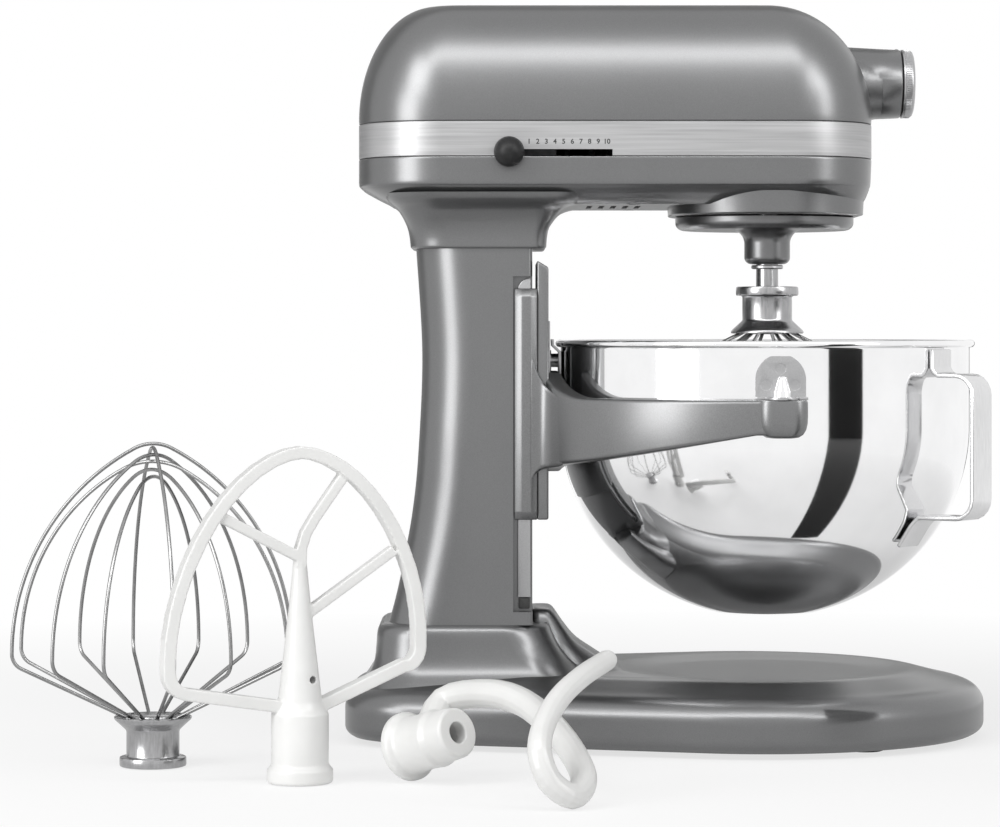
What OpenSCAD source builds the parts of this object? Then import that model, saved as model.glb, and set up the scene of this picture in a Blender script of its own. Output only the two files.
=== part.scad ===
// Bowl-lift stand mixer with its bowl, three tools and a spare wire whip.
// Millimetres, +Z up, +X towards the nose of the head, origin on the table
// under the middle of the base.

/* [Stand] */
// How far the base reaches in front of the planetary axis
toe_l = 127.5; // [122:0.5:134]
// Radius of the round front of the base
base_r = 136; // [130:1:142]
// Half width of the base at the back
base_back_half = 88; // [82:1:94]
// Height of the base plate without its feet
plate_h = 36; // [32:1:40]
// Height of the collar above the base plate
collar_h = 28; // [24:1:32]
// Height of the column
column_h = 215; // [210:1:222]
// Depth of the column at its slimmest, front to back
column_d = 63.5; // [60:0.5:70]
// Half width of the column
column_half = 50; // [48:0.5:53]
// How far the column's front face stands from the back of the base
column_front = 107.5; // [104:0.5:112]
// Wall of the castings
wall = 4; // [3.5:0.1:5]
// Height that the rubber feet stand out
foot_h = 3; // [2:0.5:5]
// Radius of a rubber foot
foot_r = 11; // [8:0.5:14]

/* [Head] */
// How far the head reaches in front of the planetary axis
nose_l = 60; // [57:0.5:64]
// Half width of the head
head_half = 73; // [71:0.5:76]
// How far the head reaches behind the column's slimmest line
head_back = 36.5; // [32:0.5:42]
// Height of the neck between the column and the underside of the head
neck_h = 25; // [22:1:28]
// Height from the underside of the head to the trim band
lower_h = 26.5; // [25:0.5:30]
// Height of the trim band
band_h = 20; // [16:0.5:22]
// Height of the upper housing above the trim band
upper_h = 70.5; // [68:0.5:76]
// Corner radius of the head in plan
head_r = 50; // [44:1:56]
// Outer radius of the attachment hub at its mouth
hub_r = 19.8; // [19.4:0.1:21]
// Length that the attachment hub stands in front of the head
hub_l = 19.2; // [17:0.1:24]
// Radius of the bore in the attachment hub
hub_bore_r = 15.9; // [15:0.1:16.4]
// Depth of the free bore in the attachment hub
hub_bore_l = 20; // [16:0.5:20]

/* [Drive] */
// Module of the ring gear and its pinion
ring_module = 1.25; // [1.1:0.05:1.3]
// Teeth of the fixed ring gear
ring_teeth = 60; // [60]
// Teeth of the beater pinion
pinion_teeth = 24; // [24]
// Module of the centre gear and the worm wheel
train_module = 1.5; // [1.4:0.02:1.52]
// Teeth of the centre gear
centre_teeth = 60; // [60]
// Teeth of the small pinion that drives the centre gear
drive_teeth = 14; // [14]
// Teeth of the worm wheel
wheel_teeth = 24; // [24]
// Starts of the worm
worm_starts = 2; // [2]
// Pitch radius of the worm
worm_r = 6; // [6:0.1:6.4]
// Radius of the planetary shaft
shaft_r = 6; // [5:0.1:7]
// Radius of the beater shaft
beater_shaft_r = 6.35; // [6:0.05:7]
// Radius of the motor's stator
stator_r = 35; // [32:0.5:37]
// Length of the motor's stator
stator_l = 56; // [48:1:60]

/* [Bowl and lift] */
// Outer radius of the bowl's wall
bowl_r = 119; // [116:0.5:119.5]
// Depth of the bowl, rim to bottom
bowl_depth = 158; // [156:1:160]
// Wall of the bowl
bowl_wall = 1.2; // [0.8:0.1:1.6]
// Gap between the bowl and the front of the column
bowl_back_gap = 17; // [16.5:0.5:20]
// Height of the bowl's rim above the arms
rim_rise = 32.5; // [31:0.5:34]
// Travel of the bowl lift
lift_travel = 32; // [26:0.5:32]
// Height of the straight upper wall of the bowl
bowl_straight = 48; // [44:1:52]
// Depth of the arms below the top of the column
arm_drop = 85; // [83:0.5:88]
// Thickness of the arms
arm_t = 12; // [10:0.5:13]
// Radial gap between the bowl and the arms
arm_gap = 7; // [6.5:0.5:9]
// Height of the arms at the bowl pins
arm_tip_h = 19; // [16:0.5:22]
// Height of the arms at the carriage
arm_root_h = 43; // [38:1:48]
// Radius of the bowl pins at their root
bowl_pin_r = 4.6; // [4:0.1:5]
// Width of the strap that makes the bowl handle
handle_w = 20; // [18:0.5:24]
// Thickness of the strap that makes the bowl handle
handle_t = 2.5; // [2:0.1:3]
// How far the handle stands out from the bowl
handle_out = 29; // [26:0.5:32]
// Length of the lift lever
lever_l = 84; // [70:1:90]

/* [Tools] */
// Radius of a tool's flange
flange_r = 18; // [17:0.1:19]
// Radius of a tool's barrel
barrel_r = 14.3; // [13.5:0.1:15]
// Length of a tool's hub
tool_hub_l = 27; // [25:0.5:30]
// Radius of the wire whip
whip_r = 76; // [70:0.5:78]
// Gap between the tip of the whip and the outside of the bowl's bottom
whip_gap = 14.8; // [12:0.2:20]
// Radius of a whip wire
wire_r = 1; // [0.8:0.05:1.2]
// Half width of the flat beater
beater_half = 74; // [68:0.5:78]
// Height of the flat beater
beater_h = 175; // [168:1:182]
// Depth of the flat beater's bars
beater_bar_d = 10; // [8:0.5:12]
// Width of the flat beater's bars
beater_bar_w = 6.5; // [5.5:0.1:8]
// Radius of the dough hook's rod at its root
hook_r = 8; // [7:0.1:8.5]
// Radius of the dough hook's rod at its tip
hook_tip_r = 5.4; // [5:0.1:6.5]

/* [Hidden] */
$fn = 64;
// gap between pieces that slide past each other
slip = 0.4;
// gap between pieces that are fixed face to face
seat = 0.05;
// overshoot of a cut past the face that it opens
over = 1;
// radial clearance of a running fit
run = 0.05;
// radial clearance of a pressed or screwed fit
press = 0.02;

// levels, from the table up
plate_top = foot_h + plate_h;
collar_top = plate_top + collar_h;
column_top = collar_top + column_h;
head_bottom = column_top + neck_h;
band_bottom = head_bottom + lower_h;
band_top = band_bottom + band_h;
head_top = band_top + upper_h;

// stations along X
base_l = column_front + bowl_back_gap + bowl_r + toe_l;
base_back = -base_l / 2;
base_front = base_l / 2;
column_x1 = base_back + column_front;
column_x0 = column_x1 - column_d;
axis_x = column_x1 + bowl_back_gap + bowl_r;
head_x0 = column_x0 - head_back;
head_x1 = axis_x + nose_l;
hub_drop = 45;
hub_z = head_top - hub_drop;
hub_mouth = head_x1 + hub_l;

// sides of the plan outlines of the castings
ring_sides = 36;
// steps round each quarter of the head's rounded shoulders
shoulder_steps = 7;

// head form
crown_inset = 44;
crown_side_inset = 38;
band_t = 2;

// gear case under the nose of the head
skirt_r = 55.6;
skirt_half = 68.5;
skirt_z0 = head_bottom - 5.6;
skirt_bore_r = 51.6;
gear_ceiling = head_bottom + 9;
gear_floor_top = gear_ceiling + wall;
case_floor = head_bottom + wall;

// planetary carrier
ring_pitch_r = ring_module * ring_teeth / 2;
pinion_pitch_r = ring_module * pinion_teeth / 2;
beater_y = -(ring_pitch_r - pinion_pitch_r);
dish_r = 52;
dish_z1 = skirt_z0 - 0.7;
dish_z0 = dish_z1 - 7.4;
stub_z0 = dish_z0 - 20;
stub_half = 13.2;
carrier_hub_top = dish_z1 + 4;
pinion_z0 = gear_ceiling - 9.5;
pinion_t = 8;
tool_z = stub_z0 - 13;

// gear train
centre_r = train_module * centre_teeth / 2;
drive_r = train_module * drive_teeth / 2;
wheel_r = train_module * wheel_teeth / 2;
motor_rise = 45;
motor_z = head_bottom + motor_rise;
wheel_y = wheel_r + worm_r;
wheel_x = axis_x - sqrt(pow(centre_r + drive_r, 2) - pow(wheel_y, 2));
train_angle = atan2(wheel_y, wheel_x - axis_x);
centre_z0 = gear_floor_top + 3;
centre_t = 8;
bracket_z0 = centre_z0 + centre_t + 5;
bracket_t = 5;
inter_r = 4;
inter_z0 = gear_ceiling + 1;
wheel_t = 5;
worm_lead = PI * train_module * worm_starts;
worm_l = 24;
mitre_r = 14;
mitre_teeth = 16;
mitre_t = 5;

// motor
armature_r = 20;
motor_shaft_r = 5;
worm_shaft_r = 3;
bracket_wall = 5;
coil_l = 7;
brush_r = 5;
commutator_r = 13;
commutator_l = 14;
tie_rod_r = 2;
tie_rod_at = 22;
motor_foot_half = 26;
stator_x1 = wheel_x - worm_l / 2 - 60;
stator_x0 = stator_x1 - stator_l;
front_bracket_x = stator_x1 + coil_l + 17;
rear_bracket_x = stator_x0 - coil_l - 25;
brush_x = rear_bracket_x + 20;

// bowl and lift
arm_z1 = column_top - arm_drop;
bowl_z0 = arm_z1 + rim_rise - bowl_depth;
rim_tube = 2.1;
rim_z = bowl_z0 + bowl_depth - rim_tube;
wall_z = rim_z - bowl_straight;
bowl_flat_r = 30;
arm_in = bowl_r + arm_gap;
arm_out = arm_in + arm_t;
pin_y = arm_in + arm_t / 2;
cup_r = 14;
plate_x0 = column_x1 + 2.6;
plate_x1 = plate_x0 + 6.6;
ear_half = column_half + 4;
rail_w = 7.4;
rail_t = 3.5;
rail_x1 = column_x1 - 1;
rail_x0 = rail_x1 - rail_w;
rail_y = column_half - 6;
ear_x0 = rail_x0 - 1.8;
ear_below = 70;
ear_above = 62;
ear_z0 = arm_z1 - ear_below;
ear_z1 = arm_z1 + ear_above;
rail_spare = 12.5;
rail_z0 = ear_z0 - lift_travel - rail_spare;
rail_z1 = ear_z1 + 6;
stop_h = 6;
carriage_z1 = ear_z1 + 16;
lever_x = column_x1 - 22;
lever_z = arm_z1 - 47;
lift_half_angle = 50;
crank_r = lift_travel / 2 / sin(lift_half_angle);
crank_pin_x = lever_x - crank_r * cos(lift_half_angle);
crank_pin_z = lever_z + lift_travel / 2;
crank_pin_r = 3;
lever_pin_r = 6;
yoke_y0 = 19;
yoke_t = 5;
yoke_half = 9;

// speed control
knob_r = 8.6;
knob_x = head_x0 + 86.6;
stem_r = 1.6;
stem_z = band_bottom + 1.95;
slot_x0 = knob_x - stem_r - 1;
slot_z1 = band_bottom + 3.9;
speed_travel = 52;
slot_l = speed_travel + 2 * stem_r + 5.8;

// ---------- shared forms ----------

// Corner circles [x, y, r] of a plan outline with one radius at the back and one at the front
function box_circles(x0, x1, half, r0, r1) = [
  [x0 + r0, half - r0, r0],
  [x1 - r1, half - r1, r1],
  [x1 - r1, r1 - half, r1],
  [x0 + r0, r0 - half, r0]
];

// Outline wrapped round a set of circles: the furthest point of them in each direction
function ring_points(circles, z) = [
  for (i = [0 : ring_sides - 1])
    let (
      a = 360 * (i + 0.5) / ring_sides,
      reaches = [for (c = circles) c.x * cos(a) + c.y * sin(a) + c[2]],
      c = circles[search(max(reaches), reaches)[0]]
    )
    [c.x + c[2] * cos(a), c.y + c[2] * sin(a), z]
];

// Closed solid through a stack of rings that have the same number of points
module loft(rings) {
  n = len(rings[0]);
  last = len(rings) - 1;
  polyhedron(
    points = [for (ring = rings, p = ring) p],
    faces = concat(
      [[for (i = [0 : n - 1]) i]],
      [for (k = [0 : last - 1], i = [0 : n - 1])
        [k * n + i, (k + 1) * n + i, (k + 1) * n + (i + 1) % n, k * n + (i + 1) % n]],
      [[for (i = [n - 1 : -1 : 0]) last * n + i]]
    )
  );
}

// Upright slab with a plan outline wrapped round circles
module slab(circles, z0, z1) {
  translate([0, 0, z0])
    linear_extrude(z1 - z0)
      polygon([for (p = ring_points(circles, 0)) [p.x, p.y]]);
}

// Rod along X, Y or Z between two stations
module rod_x(x0, x1, r, y = 0, z = 0) {
  translate([x0, y, z]) rotate([0, 90, 0]) cylinder(h = x1 - x0, r = r);
}
module rod_y(y0, y1, r, x = 0, z = 0) {
  translate([x, y1, z]) rotate([90, 0, 0]) cylinder(h = y1 - y0, r = r);
}
module rod_z(z0, z1, r, x = 0, y = 0) {
  translate([x, y, z0]) cylinder(h = z1 - z0, r = r);
}

// Box between two corners
module block(low, high) {
  translate(low) cube(high - low);
}

// Left and right copy
module both_sides() {
  children();
  mirror([0, 1, 0]) children();
}

function unit(v) = v / norm(v);
function reversed(list) = [for (i = [len(list) - 1 : -1 : 0]) list[i]];

// Sideways step from a path's point to its edge, mitred at the corners
function strap_step(path, i, half) =
  let (
    last = len(path) - 1,
    before = unit(path[max(i, 1)] - path[max(i, 1) - 1]),
    after = unit(path[min(i, last - 1) + 1] - path[min(i, last - 1)]),
    along = unit(before + after)
  )
  [-along.y, along.x] * half / (along * after);

// Outline of a strap of even thickness that follows a flat path
function strap(path, t) = concat(
  [for (i = [0 : len(path) - 1]) path[i] + strap_step(path, i, t / 2)],
  reversed([for (i = [0 : len(path) - 1]) path[i] - strap_step(path, i, t / 2)])
);

// Points round an arc in a plane
function arc(centre, r, a0, a1, steps) =
  [for (i = [0 : steps]) centre + r * [cos(a0 + (a1 - a0) * i / steps), sin(a0 + (a1 - a0) * i / steps)]];

// Flat outline drawn in X and Z, given a depth along Y about y
module upright(points, depth, y = 0) {
  translate([0, y + depth / 2, 0])
    rotate([90, 0, 0])
      linear_extrude(depth)
        polygon(points);
}

// Gear outline: four points for each tooth; the halves are shares of a quarter pitch
function gear_points(teeth, root_r, tip_r, root_half, tip_half) =
  let (tooth = [[-root_half, root_r], [-tip_half, tip_r], [tip_half, tip_r], [root_half, root_r]])
  [for (i = [0 : teeth - 1], k = tooth)
    let (a = (i * 4 + k[0]) * 90 / teeth)
    [k[1] * cos(a), k[1] * sin(a)]];
function spur(teeth, size) =
  gear_points(teeth, size * (teeth / 2 - 1.25), size * (teeth / 2 + 0.85), 1.15, 0.42);

// ---------- stand ----------

rear_r = 50;
function base_circles(inset) = [
  [base_front - base_r, 0, base_r - inset],
  [base_back + rear_r, base_back_half - rear_r, rear_r - inset],
  [base_back + rear_r, rear_r - base_back_half, rear_r - inset]
];
// rows of the base plate: [share of its height, inset of the outline]
plate_rows = [
  [0, 5], [0.06, 1.8], [0.17, 0], [0.48, 0], [0.62, 1.8], [0.73, 5.5],
  [0.8, 11], [0.85, 19], [0.93, 30], [0.985, 38], [1, 43]
];
plate_top_t = 7;
recess_r = 77;
recess_depth = 2.4;
// rows of the collar, from the plate's shoulder up:
// [share of its height, how far its back, front and sides stand out from the column]
collar_rows = [
  [0, 36, 66, 22],
  [0.16, 32, 44, 17],
  [0.3, 29, 31, 13],
  [0.46, 27, 22, 10.5],
  [0.66, 26.2, 15.5, 9],
  [0.86, 25.6, 11.5, 8],
  [0.95, 24.4, 10.2, 6.8],
  [1, 22, 8.5, 5]
];
collar_z0 = foot_h + plate_h * 0.72;
collar_r = 28;
// rows of the ridge in front of the column:
// [level above the collar's top, reach in front of the column, half width]
spine_rows = [
  [-31, 62, 50], [-28, 54, 45], [-24.5, 45, 40], [-18.4, 35, 35], [-11.7, 25.4, 31], [-3.3, 18.4, 28],
  [2.5, 14.4, 26], [5.6, 12, 24], [6.8, 10, 22]
];
feet = [
  [0, 0],
  [base_back + 34, base_back_half - 28],
  [base_back + 34, 28 - base_back_half],
  [base_front - base_r + 58, base_r - 48],
  [base_front - base_r + 58, 48 - base_r]
];
foot_plug_r = 5;
foot_plug_h = 6;
bolt_r = 3;
bolts_x = [column_x0 + 14, column_x1 - 16];
bolt_y = column_half - 18;
flange_t = 6;
passage_r = 14;
passage_x = (column_x0 + column_x1) / 2;

function collar_ring(row, inset) =
  ring_points(
    box_circles(
      column_x0 - row[1] + inset,
      column_x1 + row[2] - inset,
      column_half + row[3] - inset,
      collar_r - inset,
      collar_r - inset
    ),
    collar_z0 + row[0] * (collar_top - collar_z0)
  );

module base_casting() {
  color([0.55, 0.56, 0.57])
    difference() {
      union() {
        loft([for (row = plate_rows) ring_points(base_circles(row[1]), foot_h + row[0] * plate_h)]);
        loft([for (row = collar_rows) collar_ring(row, 0)]);
        loft([for (row = spine_rows)
          ring_points(
            box_circles(column_x1 + 0.5, column_x1 + row[1], row[2], 4, row[1] / 2 - 0.5),
            collar_top + row[0]
          )]);
      }
      difference() {
        loft([
          ring_points(base_circles(5 + wall), foot_h - over),
          ring_points(base_circles(wall), foot_h + plate_h * 0.2),
          ring_points(base_circles(wall + 1), foot_h + plate_h * 0.5),
          ring_points(base_circles(wall + 12), foot_h + plate_h * 0.72),
          ring_points(base_circles(43), plate_top - plate_top_t)
        ]);
        for (foot = feet)
          rod_z(foot_h - 2 * over, plate_top, foot_r + 3, foot.x, foot.y);
      }
      loft([for (row = collar_rows) if (row[0] < 0.9) collar_ring(row, wall + 3)]);
      rod_z(plate_top - recess_depth, plate_top + over, recess_r, axis_x);
      for (foot = feet)
        rod_z(foot_h - over, foot_h + foot_plug_h, foot_plug_r, foot.x, foot.y);
      rod_z(collar_top - 12, collar_top + over, passage_r, passage_x);
      for (x = bolts_x, y = [-bolt_y, bolt_y])
        rod_z(collar_top - 12, collar_top + over, bolt_r + slip, x, y);
    }
}

module rubber_feet() {
  color([0.12, 0.12, 0.12])
    for (foot = feet) {
      rod_z(0, foot_h - seat, foot_r, foot.x, foot.y);
      rod_z(foot_h - seat, foot_h + foot_plug_h - seat, foot_plug_r - press, foot.x, foot.y);
    }
}

// rows of the column:
// [share of its height, how far its back stands behind the slimmest line, how far its sides stand out]
column_rows = [
  [0, 19, 3], [0.08, 14.5, 2], [0.18, 10, 1.2], [0.3, 5.5, 0.4], [0.45, 2.3, 0], [0.72, 0, 0], [1, 3.5, 0]
];
column_r = 30;
column_edge_r = 3;

function column_ring(row, inset) =
  ring_points(
    box_circles(
      column_x0 - row[1] + inset,
      column_x1 - inset,
      column_half + row[2] - inset,
      column_r - inset,
      column_edge_r
    ),
    collar_top + seat + row[0] * (column_h - 2 * seat)
  );

module bolt_pattern_holes(z0, z1, r) {
  for (x = bolts_x, y = [-bolt_y, bolt_y])
    rod_z(z0, z1, r, x, y);
}

module column_casting() {
  color([0.55, 0.56, 0.57])
    difference() {
      union() {
        difference() {
          loft([for (row = column_rows) column_ring(row, 0)]);
          intersection() {
            loft([for (row = column_rows) column_ring(row, wall)]);
            block(
              [column_x0 - 30, -column_half - 10, collar_top + flange_t],
              [column_x1, column_half + 10, column_top - flange_t]
            );
          }
        }
        both_sides()
          block(
            [rail_x0 - 2 - wall, rail_y - wall, collar_top + 2],
            [column_x1 - 0.5, column_half - 3, column_top - 2]
          );
        rod_y(column_half - wall - 8, column_half - 1, lever_pin_r + 4, lever_x, lever_z);
      }
      both_sides()
        block(
          [ear_x0 - 0.8, rail_y, rail_z0 - stop_h - 2],
          [column_x1 + over, column_half + 9, rail_z1 + 1]
        );
      block(
        [column_x1 - wall - 2, yoke_y0 - slip, crank_pin_z - yoke_half - lift_travel - slip],
        [column_x1 + over, yoke_y0 + yoke_t + slip, crank_pin_z + yoke_half + slip]
      );
      rod_y(column_half - wall - 12, column_half + 9, lever_pin_r + run, lever_x, lever_z);
      rod_z(collar_top - over, column_top + over, passage_r, passage_x);
      bolt_pattern_holes(collar_top - over, collar_top + flange_t + over, bolt_r + press);
      bolt_pattern_holes(column_top - flange_t - over, column_top + over, bolt_r + press);
    }
}

// underside of the collar's top, where the lower bolts bear
collar_inner_z = collar_z0 + 0.86 * (collar_top - collar_z0);
bolt_l = collar_top + flange_t - collar_inner_z;

module bolt() {
  rod_z(-4, 0, bolt_r * 1.8);
  rod_z(0, bolt_l, bolt_r);
}

module column_bolts() {
  color([0.7, 0.7, 0.72])
    for (x = bolts_x, y = [-bolt_y, bolt_y]) {
      translate([x, y, collar_inner_z - seat]) bolt();
      translate([x, y, column_top + flange_t + 2 * seat]) mirror([0, 0, 1]) bolt();
    }
}

module guide_rails() {
  color([0.82, 0.82, 0.84])
    both_sides()
      difference() {
        block([rail_x0, rail_y + seat, rail_z0], [rail_x1, rail_y + rail_t, rail_z1]);
        difference() {
          block(
            [rail_x0 - over, rail_y - over, rail_z1 - rail_w],
            [rail_x1 + over, rail_y + rail_t + over, rail_z1 + over]
          );
          rod_y(rail_y - 2 * over, rail_y + rail_t + 2 * over, rail_w, rail_x1, rail_z1 - rail_w);
        }
      }
}

module rail_stops() {
  color([0.1, 0.1, 0.1])
    both_sides()
      block(
        [rail_x0 + 0.6, rail_y + seat, rail_z0 - stop_h - 0.3],
        [rail_x1 - 0.6, rail_y + rail_t + 1, rail_z0 - 0.3]
      );
}

// ---------- head ----------

// rows of the head's underside: [share of the height up to the band, inset at the back, front and sides]
under_rows = [
  [0, 19, 6, 16],
  [0.07, 16, 4.6, 12.6],
  [0.16, 11.3, 3.2, 8.8],
  [0.26, 6.5, 2.2, 4.8],
  [0.38, 1.4, 1.2, 1.4],
  [0.5, 0, 0.6, 0],
  [1, 0, 0, 0]
];
// rows of the neck: [share of its height, how far its back, front and sides stand out from the column]
neck_rows = [
  [0, 6.5, 8, 3],
  [0.32, 7.5, 8.8, 3.4],
  [0.6, 10, 12, 4.4],
  [0.8, 12.9, 16, 5.6],
  [0.9, 15, 20.5, 6.8],
  [1, 18, 29.5, 9.5]
];
neck_r = 22;
neck_front_r = 8;
housing_bosses = [[head_x0 + 22, 40], [head_x0 + 22, -40], [head_x0 + 158, 50], [head_x0 + 158, -50]];
bracket_posts = [[axis_x + 36, 46], [axis_x + 36, -46], [axis_x - 50, 46], [axis_x - 50, -46]];
boss_r = 6;
screw_r = 2;
screw_head_r = 3.7;
screw_l = 28;
screw_floor = head_bottom + 9;
gland_r = 6;
gland_x = head_x0 + 32;
gland_z = head_bottom + 16;
vents = 5;
vent_w = 3;
vent_pitch = 7;
vent_half = 22;
vent_x = column_x1 + 32;

function head_circles(back, front, side) =
  box_circles(
    head_x0 + back,
    head_x1 - front,
    head_half - side,
    head_r - 0.8 * max(back, side),
    head_r - 0.8 * max(front, side)
  );

function neck_ring(row, inset, z0, z1) =
  ring_points(
    box_circles(
      column_x0 - row[1] + inset,
      column_x1 + row[2] - inset,
      column_half + row[3] - inset,
      neck_r - inset,
      neck_front_r - inset
    ),
    z0 + row[0] * (z1 - z0)
  );

module lower_housing() {
  color([0.55, 0.56, 0.57])
    difference() {
      union() {
        difference() {
          union() {
            loft([for (row = under_rows)
              ring_points(head_circles(row[1], row[2], row[3]), head_bottom + row[0] * (lower_h - seat))]);
            loft([for (row = neck_rows) neck_ring(row, 0, column_top + seat, head_bottom + 1)]);
            slab(
              box_circles(axis_x - skirt_r, axis_x + skirt_r, skirt_half, skirt_r - 1, skirt_r - 6),
              skirt_z0, case_floor + wall
            );
          }
          loft([for (row = under_rows)
            ring_points(
              head_circles(row[1] + wall, row[2] + wall, row[3] + wall),
              case_floor + row[0] * (band_bottom + over - case_floor)
            )]);
          loft([for (row = neck_rows)
            if (row[0] < 0.9) neck_ring(row, wall, column_top + flange_t, case_floor + over)]);
        }
        rod_z(case_floor - over, gear_floor_top, skirt_r - 0.5, axis_x);
        rod_z(case_floor - over, gear_floor_top, 8, wheel_x, wheel_y);
        for (p = housing_bosses)
          rod_z(case_floor + (p.x < column_x1 ? 2 : -2), band_bottom - seat, boss_r, p.x, p.y);
        for (p = bracket_posts)
          rod_z(case_floor - 2, bracket_z0 - seat, boss_r, p.x, p.y);
      }
      rod_z(skirt_z0 - over, gear_ceiling, skirt_bore_r, axis_x);
      rod_z(gear_ceiling - over, gear_floor_top + over, shaft_r + 5, axis_x);
      rod_z(inter_z0 - slip, gear_floor_top + over, inter_r + run, wheel_x, wheel_y);
      for (p = housing_bosses) {
        rod_z(head_bottom - over, screw_floor, screw_head_r + slip, p.x, p.y);
        rod_z(screw_floor - over, band_bottom + over, screw_r + slip, p.x, p.y);
      }
      for (p = bracket_posts)
        rod_z(bracket_z0 - screw_l + bracket_t - over, bracket_z0 + over, screw_r + press, p.x, p.y);
      bolt_pattern_holes(column_top - over, column_top + flange_t + over, bolt_r + slip);
      rod_z(column_top - over, column_top + flange_t + over, passage_r, passage_x);
      rod_y(head_half - wall - 4, head_half + over, gland_r + press, gland_x, gland_z);
      for (i = [0 : vents - 1])
        block(
          [vent_x + i * vent_pitch, -vent_half, head_bottom - over],
          [vent_x + i * vent_pitch + vent_w, vent_half, case_floor + over]
        );
    }
}

crown_z0 = band_top + 2.5;
// rows of the rounded crown: [share of its height, share of its inset]
crown_rows = [
  for (i = [0 : shoulder_steps])
    let (a = 90 * i / shoulder_steps)
    [sin(a), 1 - cos(a)]
];
hub_root_r = hub_r + 4.6;
hub_root_x = head_x1 - 30;
sleeve_r = hub_bore_r + 1.5;
sleeve_x0 = hub_mouth - hub_bore_l;
hub_pocket_r = 13;
socket_l = 7;
hinge_x = hub_mouth - 2.2;
hinge_z = hub_z + hub_r - 1.2;
hinge_pin_r = 0.8;
hinge_pin_half = 4;
knuckle_half = 2;
knuckle_r = 1.8;
thumb_x = hub_mouth - 10;
thumb_screw_r = 3;
thumb_boss_y = hub_r + 4;
band_inset = band_t + seat;
board_y = -58;

function crown_ring(row, inset, z0, z1) =
  let (ends = crown_inset * row[1] + inset, sides = crown_side_inset * row[1] + inset)
  ring_points(head_circles(ends, ends, sides), z0 + row[0] * (z1 - z0));

module crown(inset, z0, z1, base_inset, base_z) {
  loft(concat(
    [
      ring_points(head_circles(base_inset, base_inset, base_inset), base_z),
      ring_points(head_circles(base_inset, base_inset, base_inset), band_top + seat),
      ring_points(head_circles(inset, inset, inset), band_top + seat + (inset > 0 ? 2 : 0))
    ],
    [for (row = crown_rows) crown_ring(row, inset, z0, z1)]
  ));
}

// Notch at the top of the hub's mouth for the knuckle of the cap
notch_depth = 5;
module hub_notch() {
  block(
    [hub_mouth - notch_depth, -knuckle_half - slip, hinge_z - knuckle_r - slip],
    [hub_mouth + over, knuckle_half + slip, hub_z + hub_r + 4]
  );
}

// Slot in the lower edge of the band for the stem of the speed knob
module speed_slot(depth) {
  block([slot_x0, -head_half - over, band_bottom - over], [slot_x0 + slot_l, depth - head_half, slot_z1]);
}

module upper_housing() {
  color([0.55, 0.56, 0.57])
    difference() {
      union() {
        difference() {
          crown(0, crown_z0, head_top, band_inset, band_bottom + seat);
          crown(wall, crown_z0, head_top - wall, band_inset + 3.2, band_bottom - over);
        }
        intersection() {
          union() {
            for (p = housing_bosses)
              rod_z(band_bottom + seat, head_top, boss_r, p.x, p.y);
            for (x = [knob_x - 4, knob_x + 66])
              rod_y(-head_half, board_y - 1.6, 4, x, band_top + 14);
          }
          crown(wall / 2, crown_z0, head_top - wall / 2, band_inset + 1, band_bottom + seat);
        }
        translate([hub_root_x, 0, hub_z])
          rotate([0, 90, 0])
            cylinder(h = hub_mouth - hub_root_x, r1 = hub_root_r, r2 = hub_r);
        translate([head_x1 - 7, 0, hub_z])
          rotate([0, 90, 0])
            cylinder(h = 8, r1 = hub_root_r + 4.6, r2 = hub_root_r - 2.6);
        rod_y(hub_bore_r + 2, thumb_boss_y, 8, thumb_x, hub_z);
      }
      rod_x(sleeve_x0, hub_mouth + over, sleeve_r + press, 0, hub_z);
      rod_x(sleeve_x0 - socket_l - 2, sleeve_x0 + over, hub_pocket_r, 0, hub_z);
      rod_x(hub_root_x - over, sleeve_x0, shaft_r + run, 0, hub_z);
      rod_y(hub_bore_r, thumb_boss_y + over, thumb_screw_r + run, thumb_x, hub_z);
      rod_y(-hinge_pin_half, hinge_pin_half, hinge_pin_r + press, hinge_x, hinge_z);
      hub_notch();
      for (p = housing_bosses)
        rod_z(band_bottom - over, screw_floor + screw_l + over, screw_r + press, p.x, p.y);
      speed_slot(8);
    }
}

// Screw with its head at the start and its shank along +Z or -Z
module screw(x, y, z, up) {
  translate([x, y, z])
    mirror([0, 0, up ? 0 : 1]) {
      rod_z(-3, 0, screw_head_r);
      rod_z(0, screw_l, screw_r);
    }
}

module housing_screws() {
  color([0.7, 0.7, 0.72]) {
    for (p = housing_bosses)
      screw(p.x, p.y, screw_floor - seat, true);
    for (p = bracket_posts)
      screw(p.x, p.y, bracket_z0 + bracket_t + seat, false);
  }
}

module trim_band() {
  color([0.8, 0.8, 0.82])
    difference() {
      slab(head_circles(0, 0, 0), band_bottom + seat, band_top - seat);
      slab(head_circles(band_t, band_t, band_t), band_bottom - over, band_top + over);
      speed_slot(band_t + over);
    }
}

module hub_sleeve() {
  color([0.78, 0.78, 0.8])
    difference() {
      rod_x(sleeve_x0 + seat, hub_mouth - 0.2, sleeve_r, 0, hub_z);
      rod_x(sleeve_x0 - over, hub_mouth + over, hub_bore_r, 0, hub_z);
      rod_y(0, sleeve_r + over, thumb_screw_r + slip, thumb_x, hub_z);
      hub_notch();
    }
}

module hub_hinge_pin() {
  color([0.78, 0.78, 0.8])
    rod_y(-hinge_pin_half + seat, hinge_pin_half - seat, hinge_pin_r, hinge_x, hinge_z);
}

cap_x0 = hub_mouth + 0.4;
cap_t = 7;
cap_r = hub_r + 0.2;

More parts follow.
